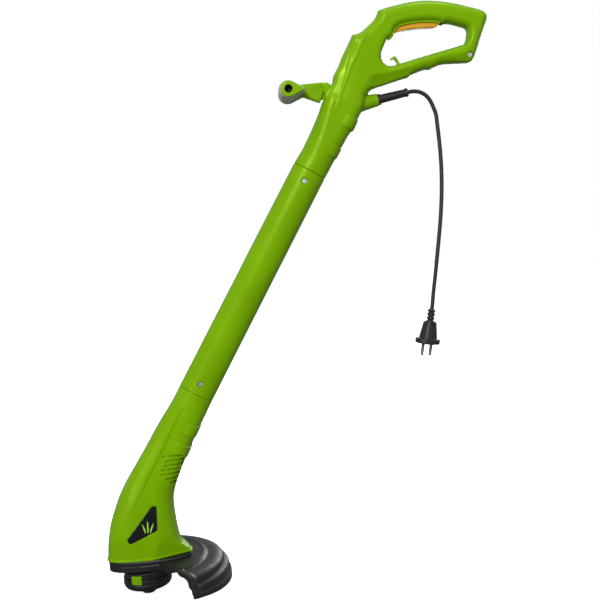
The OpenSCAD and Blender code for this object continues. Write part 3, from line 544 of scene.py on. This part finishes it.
# ---------- Handle ----------
NECK_FRONT = [(-219.4, -263.7), (-198.8, -223.7), (-187, -204), (-176.5, -183), (-167, -161.5),
              (-161, -146.5), (-156, -132), (-148, -116), (-141.5, -103.5), (-139.5, -93),
              (-132.5, -79.5), (-126.5, -64.5), (-118, -47), (-111.5, -32.5)]
SHOULDER = [(-111.5, -32.5), (-105, -31), (-97.5, -27.5), (-84, -15.5), (-76.5, -6.5), (-72.5, 3.5)]
TOP = [(-72.5, 3.5), (-61.5, 7.5), (-46.5, 11.5), (-24, 16.5), (-1.5, 18.7), (21.5, 17.7), (44, 14.6),
       (67, 9.6), (80, 6.4), (86, 4.2), (90.4, 0.6), (92.3, -4.6), (91.2, -11), (83, -35.5), (76, -59),
       (73, -66), (69, -71), (62, -73.2)]
BELLY = [(62, -73.2), (50, -73.7), (38, -74.3), (22, -76.2), (9, -82), (6, -83.2), (-3, -84),
         (-22, -91.5), (-26, -95), (-38, -98.5), (-76, -111.3), (-84, -116), (-90, -124)]
NECK_REAR = [(-90, -124), (-93, -140), (-101, -156), (-107, -170), (-116, -182), (-129, -205),
             (-138, -221), (-144, -232), (-152.2, -247.7), (-172.8, -287.7)]
HANDLE_EDGE = outline(NECK_FRONT, SHOULDER, TOP, BELLY, NECK_REAR, [(-172.8, -287.7), (-219.4, -263.7)])
OPENING_FRONT = [(-58.5, -39.5), (-61, -45), (-64.5, -53), (-66.5, -60), (-66.3, -67), (-63, -73.5),
                 (-57, -77.3), (-50, -77.6), (-42, -75.2)]
OPENING_LOW = [(-42, -75.2), (-38, -74), (7, -60.3), (52, -47), (57, -45.3), (60.2, -41)]
OPENING_REAR = [(60.2, -41), (61.7, -34), (62.2, -27), (61, -22.6), (57, -20.6), (38, -15.8), (28, -15)]
OPENING_TOP = [(28, -15), (24, -17), (16, -14), (0, -13), (-16, -14), (-31, -16.5), (-40, -19),
               (-46.5, -24), (-51, -33), (-52.5, -36), (-58.5, -39.5)]
OPENING = outline(OPENING_FRONT, OPENING_LOW, OPENING_REAR, OPENING_TOP)
TRIGGER_SLOT = np.array([(-53.5, -42), (-53.5, -15), (-20, -8), (20, -8), (29, -9), (29, -24)])
HOOK = outline([(-38, -76), (-39.5, -73), (-44.5, -65), (-46.5, -63.8), (-49, -64), (-53.3, -67)],
               [(-53.3, -67), (-52.6, -69.3), (-51.5, -69.2)],
               [(-51.5, -69.2), (-49.5, -67.6), (-47.6, -68.3), (-43.5, -73), (-44, -78)])
EDGE_ROUND, OPENING_ROUND = 15.6, 11
NECK_PADS = [(34, 51), (82, 101)]
LIP_FOOT, LIP_THICK, LIP_HALF, LIP_SPAN = -42, 1.3, 11.5, (-56, 20)
ARM_COLLAR = (-146, -119)
HOOK_HALF, SLOT_HALF = 3.5, 8.6
WELL_FLOOR, BOLT_FLOOR, MOTOR_WELL_FLOOR = 12, 15, 18
FAR_SCREWS = [(78, -7), (-97, -42), (-149, -161), (-10, -75.5)]
NEAR_SCREW = (65, -62)
ARM_BOLT = (-137, -118)


def screw_well(x, y, z, mid, floor, r=4.4):
    """A round well across the housing, dished at its mouth, with its floor that far from the middle."""
    return smooth_max(bar_shape(mid, r, x, z), floor - np.abs(y), 0.6)


def handle_shape(x, y, z):
    """Both halves of the handle: rounded between its outline and its opening, with a faceted flank."""
    depth, hole = -inside_of(HANDLE_EDGE, x, z), inside_of(OPENING, x, z)
    along, back = up_tube(TUBE_HEAD, x, z)
    neck = fade(along, 130, 0)
    r = EDGE_ROUND + (TUBE_TOP_R - EDGE_ROUND) * neck
    half_width = np.interp(x, [-200, -150, -105, -60, 40, 92], [21.5, 22, 21.2, 18.6, 18.6, 17.4])
    body = inflate(depth, hole, y, r, OPENING_ROUND, half_width, 2.4 - 0.4 * neck)
    width = np.abs(y)
    # A flat facet towards the front edge. It runs out towards the tube.
    lower = right_of((-133.9, -137), (-117, -84), x, z)
    upper = right_of((-118, -86), (-90, -30), x, z)
    edge = smooth_min(lower, upper, 3)
    run_out = 0.28 * np.maximum(120 - along, 0)
    body = smooth_max(body, (width - 20.6 - 0.16 * edge - run_out) / 1.03, 1.5)
    # A raised ridge along the rear of that facet, wider in its middle, and a short one in front of it.
    spread = 1.5 + 1.9 * np.exp(-(((z + 84) / 26) ** 2))
    body = body - 1.2 * np.exp(-((edge / spread) ** 2)) * fade(z, -150, -120) * fade(z, -16, -44)
    second = right_of((-121, -88), (-107, -46), x, z)
    body = body - 0.9 * np.exp(-((second / 2.1) ** 2)) * fade(z, -90, -76) * fade(z, -42, -54)
    # A steeper facet down to the belly and the rear of the neck. It runs out towards the tube too.
    below = -right_of((77, -56), (-80, -97), x, z)
    behind = right_of((-124, -204), (-84, -100), x, z)
    under = smooth_min(below, behind, 5)
    swell = 3.2 * fade(along, 175, 110) + 0.3 * np.maximum(60 - along, 0)
    body = smooth_max(body, (width - 17.6 + 0.62 * under - swell) / 1.18, 0.7)
    for low, high in NECK_PADS:
        body = pad(body, along, low, high, 1.3 * fade(back, 6, 22))
    return body


def handle_half(side):
    """One half of the handle, with the cord's boss, the arm's collar, the hook, the lip and the cuts."""
    def shape(x, y, z):
        value = handle_shape(x, y, z)
        gx, gy, gz = to_frame(GLAND, x, y, z)
        boss = smooth_max(np.hypot(gx, gy) - (9.3 - 0.085 * gz), np.abs(gz + 20) - 20, 1.2)
        value = smooth_min(value, boss, 3.5)
        ax, az = x - ARM_COLLAR[0], z - ARM_COLLAR[1]
        skew = ax + 0.26 * az
        collar = smooth_max(block(skew + 4, y, az, (9, 15, 14.2), 4), -(skew + 7.6), 0.8)
        value = smooth_min(value, collar, 2.5)
        value = smooth_max(value, 0.25 - up_tube(TUBE_HEAD, x, z)[0], 0.9)
        hook = smooth_max(inside_of(HOOK, x, z), np.abs(y) - HOOK_HALF, 0.8)
        value = smooth_min(value, hook, 1.0)
        lip = np.maximum(np.abs(inside_of(OPENING, x, z)) - LIP_THICK, LIP_FOOT - z)
        lip = smooth_max(np.maximum(lip, between(x, *LIP_SPAN)), np.abs(y) - LIP_HALF, 1.2)
        value = smooth_min(value, lip, 1.2)
        slot = np.maximum(inside_of(TRIGGER_SLOT, x, z), np.abs(y) - SLOT_HALF)
        value = smooth_max(value, -slot, 0.8)
        wells = FAR_SCREWS if side > 0 else [NEAR_SCREW]
        for mid in wells:
            value = smooth_max(value, -screw_well(x, y, z, mid, WELL_FLOOR), 0.8)
        if side > 0:
            value = smooth_max(value, -screw_well(x, y, z, ARM_BOLT, BOLT_FLOOR, 5), 0.8)
        return value
    return half_of(shape, side)


for word, side in SIDES.items():
    low_y, high_y = side_range(side, -1.5, 24.5)
    add_net(f"handle_shell_{word}", handle_half(side), (-202, low_y, -251), (95, high_y, 21), 1.0, "body",
            GREEN, [f"handle_housing_{word}"])

# ---------- Tube ----------
JOINT_INSET, JOINT_SEAT, JOINT_SEAT_R = 17.6, 17.8, 4.6


def tube_shape(x, y, z):
    """The oval tube along Z, with a flat seat for the screw near each end."""
    r = TUBE_LOW_R + (TUBE_TOP_R - TUBE_LOW_R) * z / TUBE_LEN
    value = (np.hypot(x / r, y / (r * TUBE_FLAT)) - 1) * r * 0.9
    value = smooth_max(value, np.abs(z - TUBE_LEN / 2) - TUBE_LEN / 2 + 0.15, 0.9)
    for mid in (JOINT_INSET, TUBE_LEN - JOINT_INSET):
        ring = np.hypot(x, z - mid)
        value = smooth_max(value, -smooth_max(ring - JOINT_SEAT_R, JOINT_SEAT + y, 0.5), 1.6)
    return value


add_net("tube_shell", tube_shape, (-29.5, -24.5, -1), (29.5, 24.5, TUBE_LEN + 1), 1.0, "body", GREEN,
        ["shaft_tube"], TUBE)


# ---------- Motor housing ----------
def rail(*points):
    """A smooth function of height through (height, value) points, lowest first."""
    line = curve(points, 8)
    return lambda z: np.interp(z, line[:, 0], line[:, 1])


def tube_edge(z, side):
    """Where the tube's front (-1) or rear (+1) edge is at height z, run on below its end."""
    return TUBE_FOOT[0] + (z - TUBE_FOOT[1]) * math.tan(LEAN) + side * TUBE_LOW_R / math.cos(LEAN)


TUBE_STARTS = (-590, -560, -530)
motor_front = rail((-850, -492.8), (-838, -493), (-826, -492.8), (-814, -492), (-798, -490),
                   (-782, -487), (-753, -478), (-735, -471), (-717.5, -462.5), (-694, -449),
                   (-669.5, -435), (-645, -421.5), (-622, -408.5),
                   *[(z, tube_edge(z, -1)) for z in TUBE_STARTS])
motor_rear = rail((-850, -362), (-838, -361.6), (-831, -361.4), (-826, -364.6), (-820, -371),
                  (-814, -377), (-807, -380.6), (-795, -383.5), (-780, -386.2), (-762, -388.6),
                  (-745.6, -389.4), (-730, -386.6), (-715, -382), (-700, -376.5), (-686, -371),
                  (-670, -363.5), (-651, -355.5), (-629, -345),
                  *[(z, tube_edge(z, 1)) for z in TUBE_STARTS])
motor_half = rail((-850, 30.2), (-838, 30.6), (-826, 31.6), (-812, 32.6), (-796, 33.6), (-770, 34),
                  (-740, 33.8), (-717, 33), (-695, 31.6), (-673, 30), (-649, 28.4), (-622, 26.2),
                  (-600, 24.4), (-575, 23.2), (-530, 22.9))
MOTOR_PADS = [(45, 63, 6), (79, 97, 0)]
FAR_MOTOR_SCREWS = [(-386, -602), (-430, -698), (-392, -806), (-477.5, -806)]
VENT_R, VENT_DEPTH, VENT_SLANT = 1.85, 2.4, 0.061
VENTS = [(-403, -374, -673), (-397, -371, -680), (-400, -373, -687), (-404, -374, -694),
         (-404, -379, -701), (-398, -381, -708.5), (-392, -384, -715)]
BADGE_SINK = 0.9
BADGE = [(-419.5, -750), (-413, -750), (-412, -788.5), (-454, -810.8), (-459, -804.5)]


def rounded(points, r, steps=6):
    """A closed outline through the points with its corners rounded to about r."""
    path = []
    for before, mid, after in zip(np.roll(points, 1, 0), points, np.roll(points, -1, 0)):
        mid = np.array(mid, float)
        into = (mid - before) / np.linalg.norm(mid - before)
        out = (after - mid) / np.linalg.norm(after - mid)
        reach = r * math.tan(math.acos(np.clip(into @ out, -1, 1)) / 2)
        start, end = mid - into * reach, mid + out * reach
        for t in np.linspace(0, 1, steps):
            path.append((1 - t) ** 2 * start + 2 * t * (1 - t) * mid + t * t * end)
    return np.array(path)


BADGE_EDGE = rounded(np.array(BADGE, float), 3.0)


def motor_surface(x, y, z):
    """Both halves of the motor housing, without its cuts."""
    front, rear, half = motor_front(z), motor_rear(z), motor_half(z)
    power = 2 + 0.8 * fade(z, -590, -660)
    middle, reach = (front + rear) / 2, (rear - front) / 2
    across = np.abs((x - middle) / reach) ** power
    value = ((across + np.abs(y / half) ** power) ** (1 / power) - 1) * half
    width = np.abs(y)
    # A flat facet in front of a long raised crease, and another down the rear of the foot.
    crease = right_of((-451.6, -753), (-366, -579), x, z)
    cut = fade(z, -574, -600) * fade(z, -810, -715)
    value = smooth_max(value, (width - half + cut * (0.6 - 0.25 * crease)) / 1.04, 0.9)
    ridge = np.exp(-(((crease - 0.8) / 2.8) ** 2))
    value = value - 2.0 * ridge * fade(z, -782, -700) * fade(z, -578, -604)
    heel = -right_of((-406, -800), (-389, -725), x, z)
    run_out = 0.3 * np.maximum(z + 735, 0)
    value = smooth_max(value, (width - half + 2.2 - 0.45 * heel - run_out) / 1.1, 1.4)
    along, back = up_tube(TUBE_FOOT, x, z)
    for low, high, start in MOTOR_PADS:
        value = pad(value, -along, low, high, 1.2 * fade(back, start, start + 14))
    return value


def motor_half_shape(side):
    """One half of the motor housing, with its vents and the recess of its badge."""
    def shape(x, y, z):
        value = motor_surface(x, y, z)
        gx, gy, gz = to_frame(HEAD, x, y, z)
        value = value - 0.7 * fade(gz, 4.2, 3.4)
        value = smooth_max(value, up_tube(TUBE_FOOT, x, z)[0] + 0.15, 0.9)
        value = smooth_max(value, 0.15 - gz, 1.0)
        skin = value
        for start, end, height in VENTS:
            rise = VENT_SLANT * (x - (start + end) / 2)
            slot = np.hypot(np.maximum(between(x, start, end) + 1.3, 0), z - height - rise) - VENT_R
            value = smooth_max(value, -smooth_max(slot, -skin - VENT_DEPTH, 0.4), 0.6)
        recess = smooth_max(inside_of(BADGE_EDGE, x, z) - 0.6, -skin - BADGE_SINK, 0.3)
        value = smooth_max(value, -recess, 0.5)
        if side > 0:
            for mid in FAR_MOTOR_SCREWS:
                value = smooth_max(value, -screw_well(x, y, z, mid, MOTOR_WELL_FLOOR), 0.8)
        return value
    return half_of(shape, side)


for word, side in SIDES.items():
    low_y, high_y = side_range(side, -1.5, 36.5)
    add_net(f"motor_shell_{word}", motor_half_shape(side), (-496, low_y, -848), (-310, high_y, -550), 1.0,
            "body", GREEN, [f"motor_housing_{word}"])


# ---------- Badge ----------
def leaf(root, tip, bow, width):
    """A blade of grass: a pointed leaf from root to tip, bowed to one side."""
    root, tip = np.array(root, float), np.array(tip, float)
    along = tip - root
    aside = np.array([along[1], -along[0]]) / np.linalg.norm(along)
    t = np.linspace(0, 1, 12)[:, None]
    spine = root + along * t + aside * bow * np.sin(t * math.pi / 2) ** 2 * t
    swell = width / 2 * np.sin(math.pi * np.minimum(t * 0.85 + 0.15, 1)) ** 0.8
    return np.concatenate([spine + aside * swell, (spine - aside * swell)[::-1]])


BLADES = [
    leaf((-426.2, -792), (-425.6, -771.5), -1.2, 2.6),
    leaf((-430, -792), (-433.5, -777), -1.6, 2.4),
    leaf((-422.4, -792), (-418.6, -775), 1.6, 2.4),
]


def add_badge(word, side):
    """A glossy plate in the recess, and raised blades of grass on it."""
    def plate(x, y, z):
        layer = np.abs(motor_surface(x, y, z) + 0.15) - 0.55
        return smooth_max(smooth_max(inside_of(BADGE_EDGE, x, z), layer, 0.5), -side * y, 0.5)

    def grass(x, y, z):
        edge = np.minimum.reduce([inside_of(blade, x, z) for blade in BLADES])
        layer = np.abs(motor_surface(x, y, z) - 0.45) - 0.28
        return smooth_max(smooth_max(edge, layer, 0.25), -side * y, 0.5)

    low_y, high_y = side_range(side, 27, 36)
    add_net(f"badge_plate_{word}", plate, (-462, low_y, -814), (-409, high_y, -747), 0.45, "body",
            GLOSS_BLACK, [f"badge_{word}"])
    add_net(f"badge_grass_{word}", grass, (-440, low_y, -794), (-414, high_y, -769), 0.25, "body",
            PALE_GREEN)


for word, side in SIDES.items():
    add_badge(word, side)

# ---------- Guard ----------
SKIRT_R, GUARD_NEAR, GUARD_FAR = 133, -52, 78
SKIRT_LOW, SKIRT_RISE, SKIRT_TOP = -48, 0.196, -25.5
GUARD_THICK, GUARD_RIB = 2.6, 1.8
COLLAR_POWER = 2.44
GUARD_OUTSIDE = [(20, -4.6), (60, -4.6), (80, -4.6), (88, -4.6), (90.5, -3.6), (93, -3.6), (95.5, -6.4),
                 (98, -8.4), (108, -8.6), (115, -9.8), (120, -12), (122.6, -15.4), (123, -18.6),
                 (123.2, -21), (124.6, -22.4), (127.8, -23.2), (130, -25.6), (130.9, -30),
                 (131.2, -35.4), (132.2, -37.4), (133.4, -39.4), (133.4, -48)]
END_OUTSIDE = [(20, -16), (45, -16), (60, -14.8), (68, -13.8), (80, -9), (91.5, -5.1), (102, -3.3),
               (112, -2.9), (120, -4), (126, -6.4), (129.5, -9.8), (131.5, -14), (133, -20), (134, -27),
               (134.9, -35.2), (135, -41), (134.8, -48)]


def spaced(points, count=64):
    """The smooth curve through points, as count points an even way apart."""
    line = curve(points)
    reach = np.concatenate([[0], np.cumsum(np.linalg.norm(np.diff(line, axis=0), axis=1))])
    even = np.linspace(0, reach[-1], count)
    return np.stack([np.interp(even, reach, line[:, k]) for k in (0, 1)], 1)


PLATE, PLATE_END = spaced(GUARD_OUTSIDE), spaced(END_OUTSIDE)


def underside(line, thick):
    """The line moved inwards by thick, its last point level with the last of the line."""
    way = np.gradient(line, axis=0)
    normal = np.stack([way[:, 1], -way[:, 0]], 1) / np.linalg.norm(way, axis=1)[:, None]
    inside = line + normal * thick
    inside[-1] = line[-1] + [-thick, 0]
    return inside


def guard_ring(turn):
    """The guard's section at that angle, cut to its slanting lower edge and raised at its near end."""
    low = SKIRT_LOW + SKIRT_RISE * (SKIRT_R - SKIRT_R * math.cos(math.radians(turn)))
    squeeze = (low - SKIRT_TOP) / (SKIRT_LOW - SKIRT_TOP)
    raised = float(fade(turn, GUARD_NEAR + 8, GUARD_NEAR + 2.5))
    sections = []
    for line in (PLATE, PLATE + (PLATE_END - PLATE) * raised):
        high = line[:, 1]
        cut = np.where(high > SKIRT_TOP, high, SKIRT_TOP + (high - SKIRT_TOP) * squeeze)
        sections.append(np.stack([line[:, 0], cut], 1))
    thick = GUARD_THICK + GUARD_RIB * float(fade(turn, GUARD_FAR - 2, GUARD_FAR - 1))
    inside = np.minimum(underside(sections[0], thick), underside(sections[1], thick))
    inside[-1, 1] = sections[1][-1, 1]
    a = math.radians(turn)
    return [(r * math.cos(a), r * math.sin(a), h) for r, h in [*sections[1], *inside[::-1]]]


def add_guard():
    """The fan-shaped guard, raised at its near end and thicker at its far end, and its collar."""
    turns = [*np.linspace(GUARD_NEAR, GUARD_NEAR + 9, 19), *np.linspace(GUARD_NEAR + 10, GUARD_FAR, 100)]
    rings = [guard_ring(a) for a in turns]
    m, n = len(rings[0]), len(rings)
    faces = ring_faces(m, n, False)
    faces += [list(range(m))[::-1], [(n - 1) * m + k for k in range(m)]]
    add_piece("guard_skirt", [p for ring in rings for p in ring], faces, "body", BLACK,
              ["guard"], GUARD_SHARP, HEAD)

    def collar(x, y, z):
        reach = np.abs((x - 8.5) / 66) ** COLLAR_POWER + np.abs(y / 30) ** COLLAR_POWER
        edge = (reach ** (1 / COLLAR_POWER) - 1) * 34
        edge = edge + 0.6 * fade(np.abs(z + 7.5), 0.9, 0.5) + 0.9 * fade(z, -2.2, -1.2)
        wall = smooth_max(edge, -(edge + 2.5), 0.3)
        wall = smooth_max(wall, np.abs(z + 8.6) - 8.4, 0.4)
        web = smooth_max(edge + 1, np.abs(z + 2) - 1.6, 0.4)
        both = np.minimum(wall, web)
        return smooth_max(both, 17 - np.hypot(x, y), 0.4)

    add_net("guard_collar", collar, (-59, -32, -18.5), (76, 32, 1), 0.75, "body", BLACK,
            (), HEAD)


add_guard()

# ---------- Spool head ----------
DRUM_R = 37.5
CLIP_TURNS = {"left": -110, "right": 70}
CLIP_MID, CLIP_W, CLIP_H = -28.25, 17, 13.5
CLIP_OUT, CLIP_RIDGE = 34.5, 2.8
CAP_SLOPE, CAP_SLANT = 0.3, 1.044


def spun(x, y, turn):
    """Distances outwards and sideways of (x, y), seen along the direction turn."""
    a = math.radians(turn)
    return x * math.cos(a) + y * math.sin(a), y * math.cos(a) - x * math.sin(a)


def clip_windows(x, y, z, gap=0.5):
    """Negative in the windows of the two clips."""
    edges = []
    for turn in CLIP_TURNS.values():
        out, aside = spun(x, y, turn)
        edges.append(np.maximum.reduce(np.broadcast_arrays(
            np.abs(aside) - CLIP_W / 2 - gap, np.abs(z - CLIP_MID) - CLIP_H / 2 - gap, 27 - out)))
    return np.minimum(*edges)


def drum_shape(x, y, z):
    """The drum under the motor: a short cup that opens downwards, with a neck on it."""
    r = np.hypot(x, y)
    wall = smooth_max(r - DRUM_R + 1.5, np.abs(z + 23.9) - 5.2, 1.2)
    bore = np.maximum(r - 32.4, z + 21)
    value = smooth_max(wall, -bore, 0.6)
    neck = smooth_max(r - 13, np.abs(z + 14.5) - 5.5, 1.0)
    value = smooth_min(value, neck, 1.5)
    value = smooth_max(value, 9.1 - r, 0.4)
    return smooth_max(value, -clip_windows(x, y, z), 0.5)


def cap_shape(x, y, z):
    """The cap that holds the spool: a cup with a band, a rounded heel and a coned floor."""
    r = np.hypot(x, y)
    outer = smooth_max(r - DRUM_R - 0.05, np.abs(z + 42) - 12.8, 1.0)
    outer = outer - 0.4 * fade(np.abs(z + 38.6), 1.9, 1.2) * fade(r, 34, 37)
    outer = smooth_max(outer, (-z - 46.2 + (r - 35) * CAP_SLOPE) / CAP_SLANT, 5.5)
    inner = smooth_max(r - DRUM_R + 2.5, (-z - 43.6 + (r - 35) * CAP_SLOPE) / CAP_SLANT, 2.5)
    value = smooth_max(outer, -inner, 0.5)
    value = smooth_max(value, 11.4 - r, 0.6)
    return smooth_max(value, -clip_windows(x, y, z), 0.5)


def clip_shape(turn):
    """The ridged button of the clip that faces the direction turn."""
    def shape(x, y, z):
        out, aside = spun(x, y, turn)
        r = np.hypot(x, y)
        ridges = 0.3 * np.cos(aside * 2 * math.pi / CLIP_RIDGE) * fade(np.abs(aside), 8, 6.5)
        face = smooth_max(r - DRUM_R - 0.15 - ridges, 30.5 - r, 0.5)
        value = smooth_max(face, np.abs(aside) - CLIP_W / 2, 0.9)
        return smooth_max(smooth_max(value, np.abs(z - CLIP_MID) - CLIP_H / 2, 0.9), -out, 1)
    return shape


add_net("drum_shell", drum_shape, (-39, -39, -31), (39, 39, -7), 0.7, "rotor", BLACK,
        ["spool_housing"], HEAD)
add_net("drum_cap", cap_shape, (-39, -39, -57.5), (39, 39, -28.5), 0.7, "rotor", BLACK,
        ["spool_cap"], HEAD)
for word, turn in CLIP_TURNS.items():
    mid_x, mid_y = CLIP_OUT * math.cos(math.radians(turn)), CLIP_OUT * math.sin(math.radians(turn))
    add_net(f"clip_button_{word}", clip_shape(turn), (mid_x - 11, mid_y - 11, -36.5),
            (mid_x + 11, mid_y + 11, -20), 0.5, f"clip_{word}", GREEN,
            [f"release_clip_{word}"], HEAD)
knob = [(0, -60), (7.5, -60), (9.4, -59.6), (10.5, -58.7), (11, -57.4), (11, -50), (11.4, -49.4),
        (13, -49.2), (13.6, -48.8), (13.6, -47.4), (13.2, -47), (11, -46.8), (11, -46.2), (0, -46.2)]
add_lathe("knob_button", knob, "feed", BLACK, ["bump_knob"], HEAD)

# ---------- Front grip ----------
TAIL_X, TAIL_R, SLEEVE_R = 18.3, 4.7, 13.0
BAR_HALF, CAP_T, HUB_HALF = 54, 5, 11
SLEEVE_END, SLEEVE_GROOVE = 48.8, 3.4


def teardrop(r, tail_r, steps=28):
    """The grip's section round the bar: a round nose of radius r and a small round tail behind."""
    lean = math.acos((r - tail_r) / TAIL_X)
    nose = np.linspace(lean, 2 * math.pi - lean, steps)
    tail = np.linspace(-lean, lean, steps // 2)
    big = np.stack([r * np.cos(nose), r * np.sin(nose)], 1)
    small = np.stack([TAIL_X + tail_r * np.cos(tail), tail_r * np.sin(tail)], 1)
    return np.concatenate([big, small]) + BAR_MID


SLEEVE_EDGE = teardrop(SLEEVE_R, TAIL_R)
CAP_EDGE = teardrop(SLEEVE_R - 1.1, TAIL_R - 1.1)
HUB_EDGE = teardrop(SLEEVE_R - 0.6, TAIL_R - 0.6)
ARM_EDGE = np.array([(-196, -107.5), (-184, -105.8), (-160, -103.4), (-147.2, -103), (-147.8, -105.5),
                     (-159.6, -132.8), (-161, -133), (-184, -125.2), (-196, -126)])


def arm_shape(x, y, z):
    """The arm from the handle's collar to the grip, with its hub and the core under the sleeves."""
    plate = smooth_max(inside_of(ARM_EDGE, x, z), np.abs(y) - 9, 3.5)
    hub = smooth_max(inside_of(HUB_EDGE, x, z), np.abs(y) - HUB_HALF, 1.2)
    tongue = block(x + 147, y, z + 118, (19, 5.8, 10), 1)
    core = smooth_max(bar_shape(BAR_MID, 9.4, x, z), np.abs(y) - SLEEVE_END, 0.6)
    core = smooth_max(core, -np.maximum(bar_shape(BAR_MID, 6.0, x, z), 38.5 - np.abs(y)), 0.4)
    return smooth_min(smooth_min(smooth_min(plate, hub, 1.5), tongue, 0.5), core, 0.5)


def sleeve_shape(side):
    """A soft sleeve of the grip: thicker in its middle, and grooved all the way round."""
    def shape(x, y, z):
        out = side * y
        edge = inside_of(SLEEVE_EDGE, x, z) - 1.7 * np.cos((out - 30) / 19 * math.pi / 2) ** 2
        groove = fade(np.cos(out * 2 * math.pi / SLEEVE_GROOVE), 0.2, 0.9)
        edge = edge + 0.28 * groove * fade(out, 14, 17) * fade(out, 46, 43)
        value = smooth_max(edge, between(out, HUB_HALF + 0.1, SLEEVE_END), 1.6)
        return smooth_max(value, -bar_shape(BAR_MID, 9.5, x, z), 0.4)
    return shape


def cap_end_shape(side):
    """The cap at an end of the grip, with a rim round its hole and a stem into the core."""
    def shape(x, y, z):
        out = side * y
        ring = bar_shape(BAR_MID, 0, x, z)
        plate = smooth_max(inside_of(CAP_EDGE, x, z), between(out, BAR_HALF - CAP_T, BAR_HALF), 1.8)
        rim = smooth_max(np.abs(ring - 7.0) - 0.9, between(out, BAR_HALF - 4, BAR_HALF), 0.8)
        plate = smooth_min(plate, rim, 0.8)
        value = smooth_max(plate, -smooth_max(ring - 6.0, 39 - out, 0.4), 0.9)
        stem = np.maximum(np.maximum(ring - 7.3, 6.1 - ring), between(out, 36, 50))
        return np.minimum(value, stem)
    return shape


add_net("front_arm", arm_shape, (-223, -50.5, -135), (-126, 50.5, -101), 0.9, "body", GREEN,
        ["grip_arm"])
for word, side in SIDES.items():
    low_y, high_y = side_range(side, 10, 50)
    add_net(f"front_sleeve_{word}", sleeve_shape(side), (-225, low_y, -134), (-182, high_y, -101), 0.6,
            "body", GREY_RUBBER, ["grip_sleeves"])
    low_y, high_y = side_range(side, 35, 55.5)
    add_net(f"front_cap_{word}", cap_end_shape(side), (-222, low_y, -131), (-184, high_y, -104), 0.5,
            "body", GREEN, ["grip_caps"])
    # A thin black sleeve inside each cap's recess is painted shade: it darkens the recess walls and floor
    # where shade falls.
    shade_profile = [(5.9, 38.6), (5.9, 52.6), (5.2, 52.8), (5.0, 52.4), (5.0, 40), (0.8, 40), (0.8, 38.6)]
    at = place(BAR_MID) @ Matrix.Rotation(-side * math.pi / 2, 4, "X")
    add_lathe(f"front_cap_recess_shade_{word}", shade_profile, "body", BLACK, (), at, 48)

# ---------- Trigger ----------
TRIGGER_PIVOT, TRIGGER_HALF = (32, -3), 7.9
TRIGGER_EDGE = outline(
    [(-50, -31), (-47, -29.6), (-38, -26.6), (-27, -24.4), (-16, -22.9), (-2, -21.9), (8, -21.6),
     (14, -20.8), (17, -18.8), (20, -15.5)],
    [(20, -15.5), (28, -9), (33, -6.6)],
    [(33, -6.6), (33, -1)],
    [(33, -1), (24, -4), (10, -9), (-20, -13), (-41, -19), (-50, -20)],
    [(-50, -20), (-50, -31)])


def trigger_shape(x, y, z):
    """The trigger's blade and the hub it turns on."""
    blade = smooth_max(inside_of(TRIGGER_EDGE, x, z), np.abs(y) - TRIGGER_HALF, 2.4)
    hub = smooth_max(bar_shape(TRIGGER_PIVOT, 4.5, x, z), np.abs(y) - TRIGGER_HALF, 0.6)
    return smooth_max(smooth_min(blade, hub, 0.6), -bar_shape(TRIGGER_PIVOT, 2.1, x, z), 0.2)


add_net("trigger_lever", trigger_shape, (-52, -9, -33), (38, 9, 3), 0.6, "trigger", AMBER,
        ["trigger"])

# ---------- The CAD nodes that stay in view or inside ----------
for part in frame["record"]["subparts"]:
    for slot in nodes[part["node"]].material_slots:
        slot.material = FINISHES[part["material_slot"]]
# The grip caps' screws, at the bottom of their recesses, get a near-black steel.
nodes["grip_cap_screws"].material_slots[0].material = DARK_STEEL


# ---------- Studio ----------
FLOOR_R, FLOOR_GAP = 8, 0.0004


def area_light(name, at, aim, size, power):
    """A round soft light at that place, turned to aim."""
    data = bpy.data.lights.new(name, "AREA")
    data.shape = "DISK"
    data.size = size
    data.energy = power
    light = add_object(name, data)
    light.location = at
    light.rotation_euler = (Vector(aim) - Vector(at)).to_track_quat("-Z", "Y").to_euler()


def make_sky():
    """White to look at. As a light it is soft, and fades from overhead down to the ground."""
    world = bpy.data.worlds.new("studio")
    bpy.context.scene.world = world
    world.use_nodes = True
    tree = world.node_tree
    back = tree.nodes["Background"]
    back.inputs["Color"].default_value = (1, 1, 1, 1)
    where = tree.nodes.new("ShaderNodeTexCoord")
    split = tree.nodes.new("ShaderNodeSeparateXYZ")
    path = tree.nodes.new("ShaderNodeLightPath")
    tree.links.new(where.outputs["Generated"], split.inputs["Vector"])
    sky = map_range(tree, split.outputs["Z"], -0.7, 0.9, 0.12, 0.56)
    level = map_range(tree, path.outputs["Is Camera Ray"], 0, 1, 0, 1)
    tree.links.new(sky.outputs["Result"], level.inputs["To Min"])
    tree.links.new(level.outputs["Result"], back.inputs["Strength"])


def make_floor(height):
    """A round sheet of white paper, which glows so that it reads as white."""
    mesh = bpy.data.meshes.new("floor")
    turns = np.linspace(0, 2 * math.pi, 64, endpoint=False)
    rim = [(FLOOR_R * math.cos(a), FLOOR_R * math.sin(a), height) for a in turns]
    mesh.from_pydata(rim, [], [list(range(len(rim)))])
    paper = new_material("floor_paper", (0.9, 0.9, 0.9), 0.9)
    shader = paper.node_tree.nodes["Principled BSDF"]
    shader.inputs["Emission Color"].default_value = (1, 1, 1, 1)
    shader.inputs["Emission Strength"].default_value = 0.88
    add_bump(paper, [(add_noise(paper, 300, 2), 0.00005)])
    mesh.materials.append(paper)
    floor = add_object("floor", mesh)
    floor.visible_diffuse = False
    floor.visible_glossy = False


def make_lights():
    middle = (-0.2, 0, -0.42)
    area_light("key", (-1.0, -2.5, 0.8), middle, 0.5, 55)
    area_light("low", (-1.95, -2.0, -0.75), (-0.42, 0, -0.7), 0.3, 10)
    area_light("fill", (1.9, -1.6, -0.1), middle, 1.6, 6)
    area_light("top", (0.2, -0.1, 2.0), middle, 0.8, 12)
    area_light("back", (0.6, 2.3, 0.3), middle, 1.4, 30)


bpy.context.scene.view_settings.view_transform = "Standard"
make_sky()
make_floor(cad_box[0][2] - FLOOR_GAP)
make_lights()
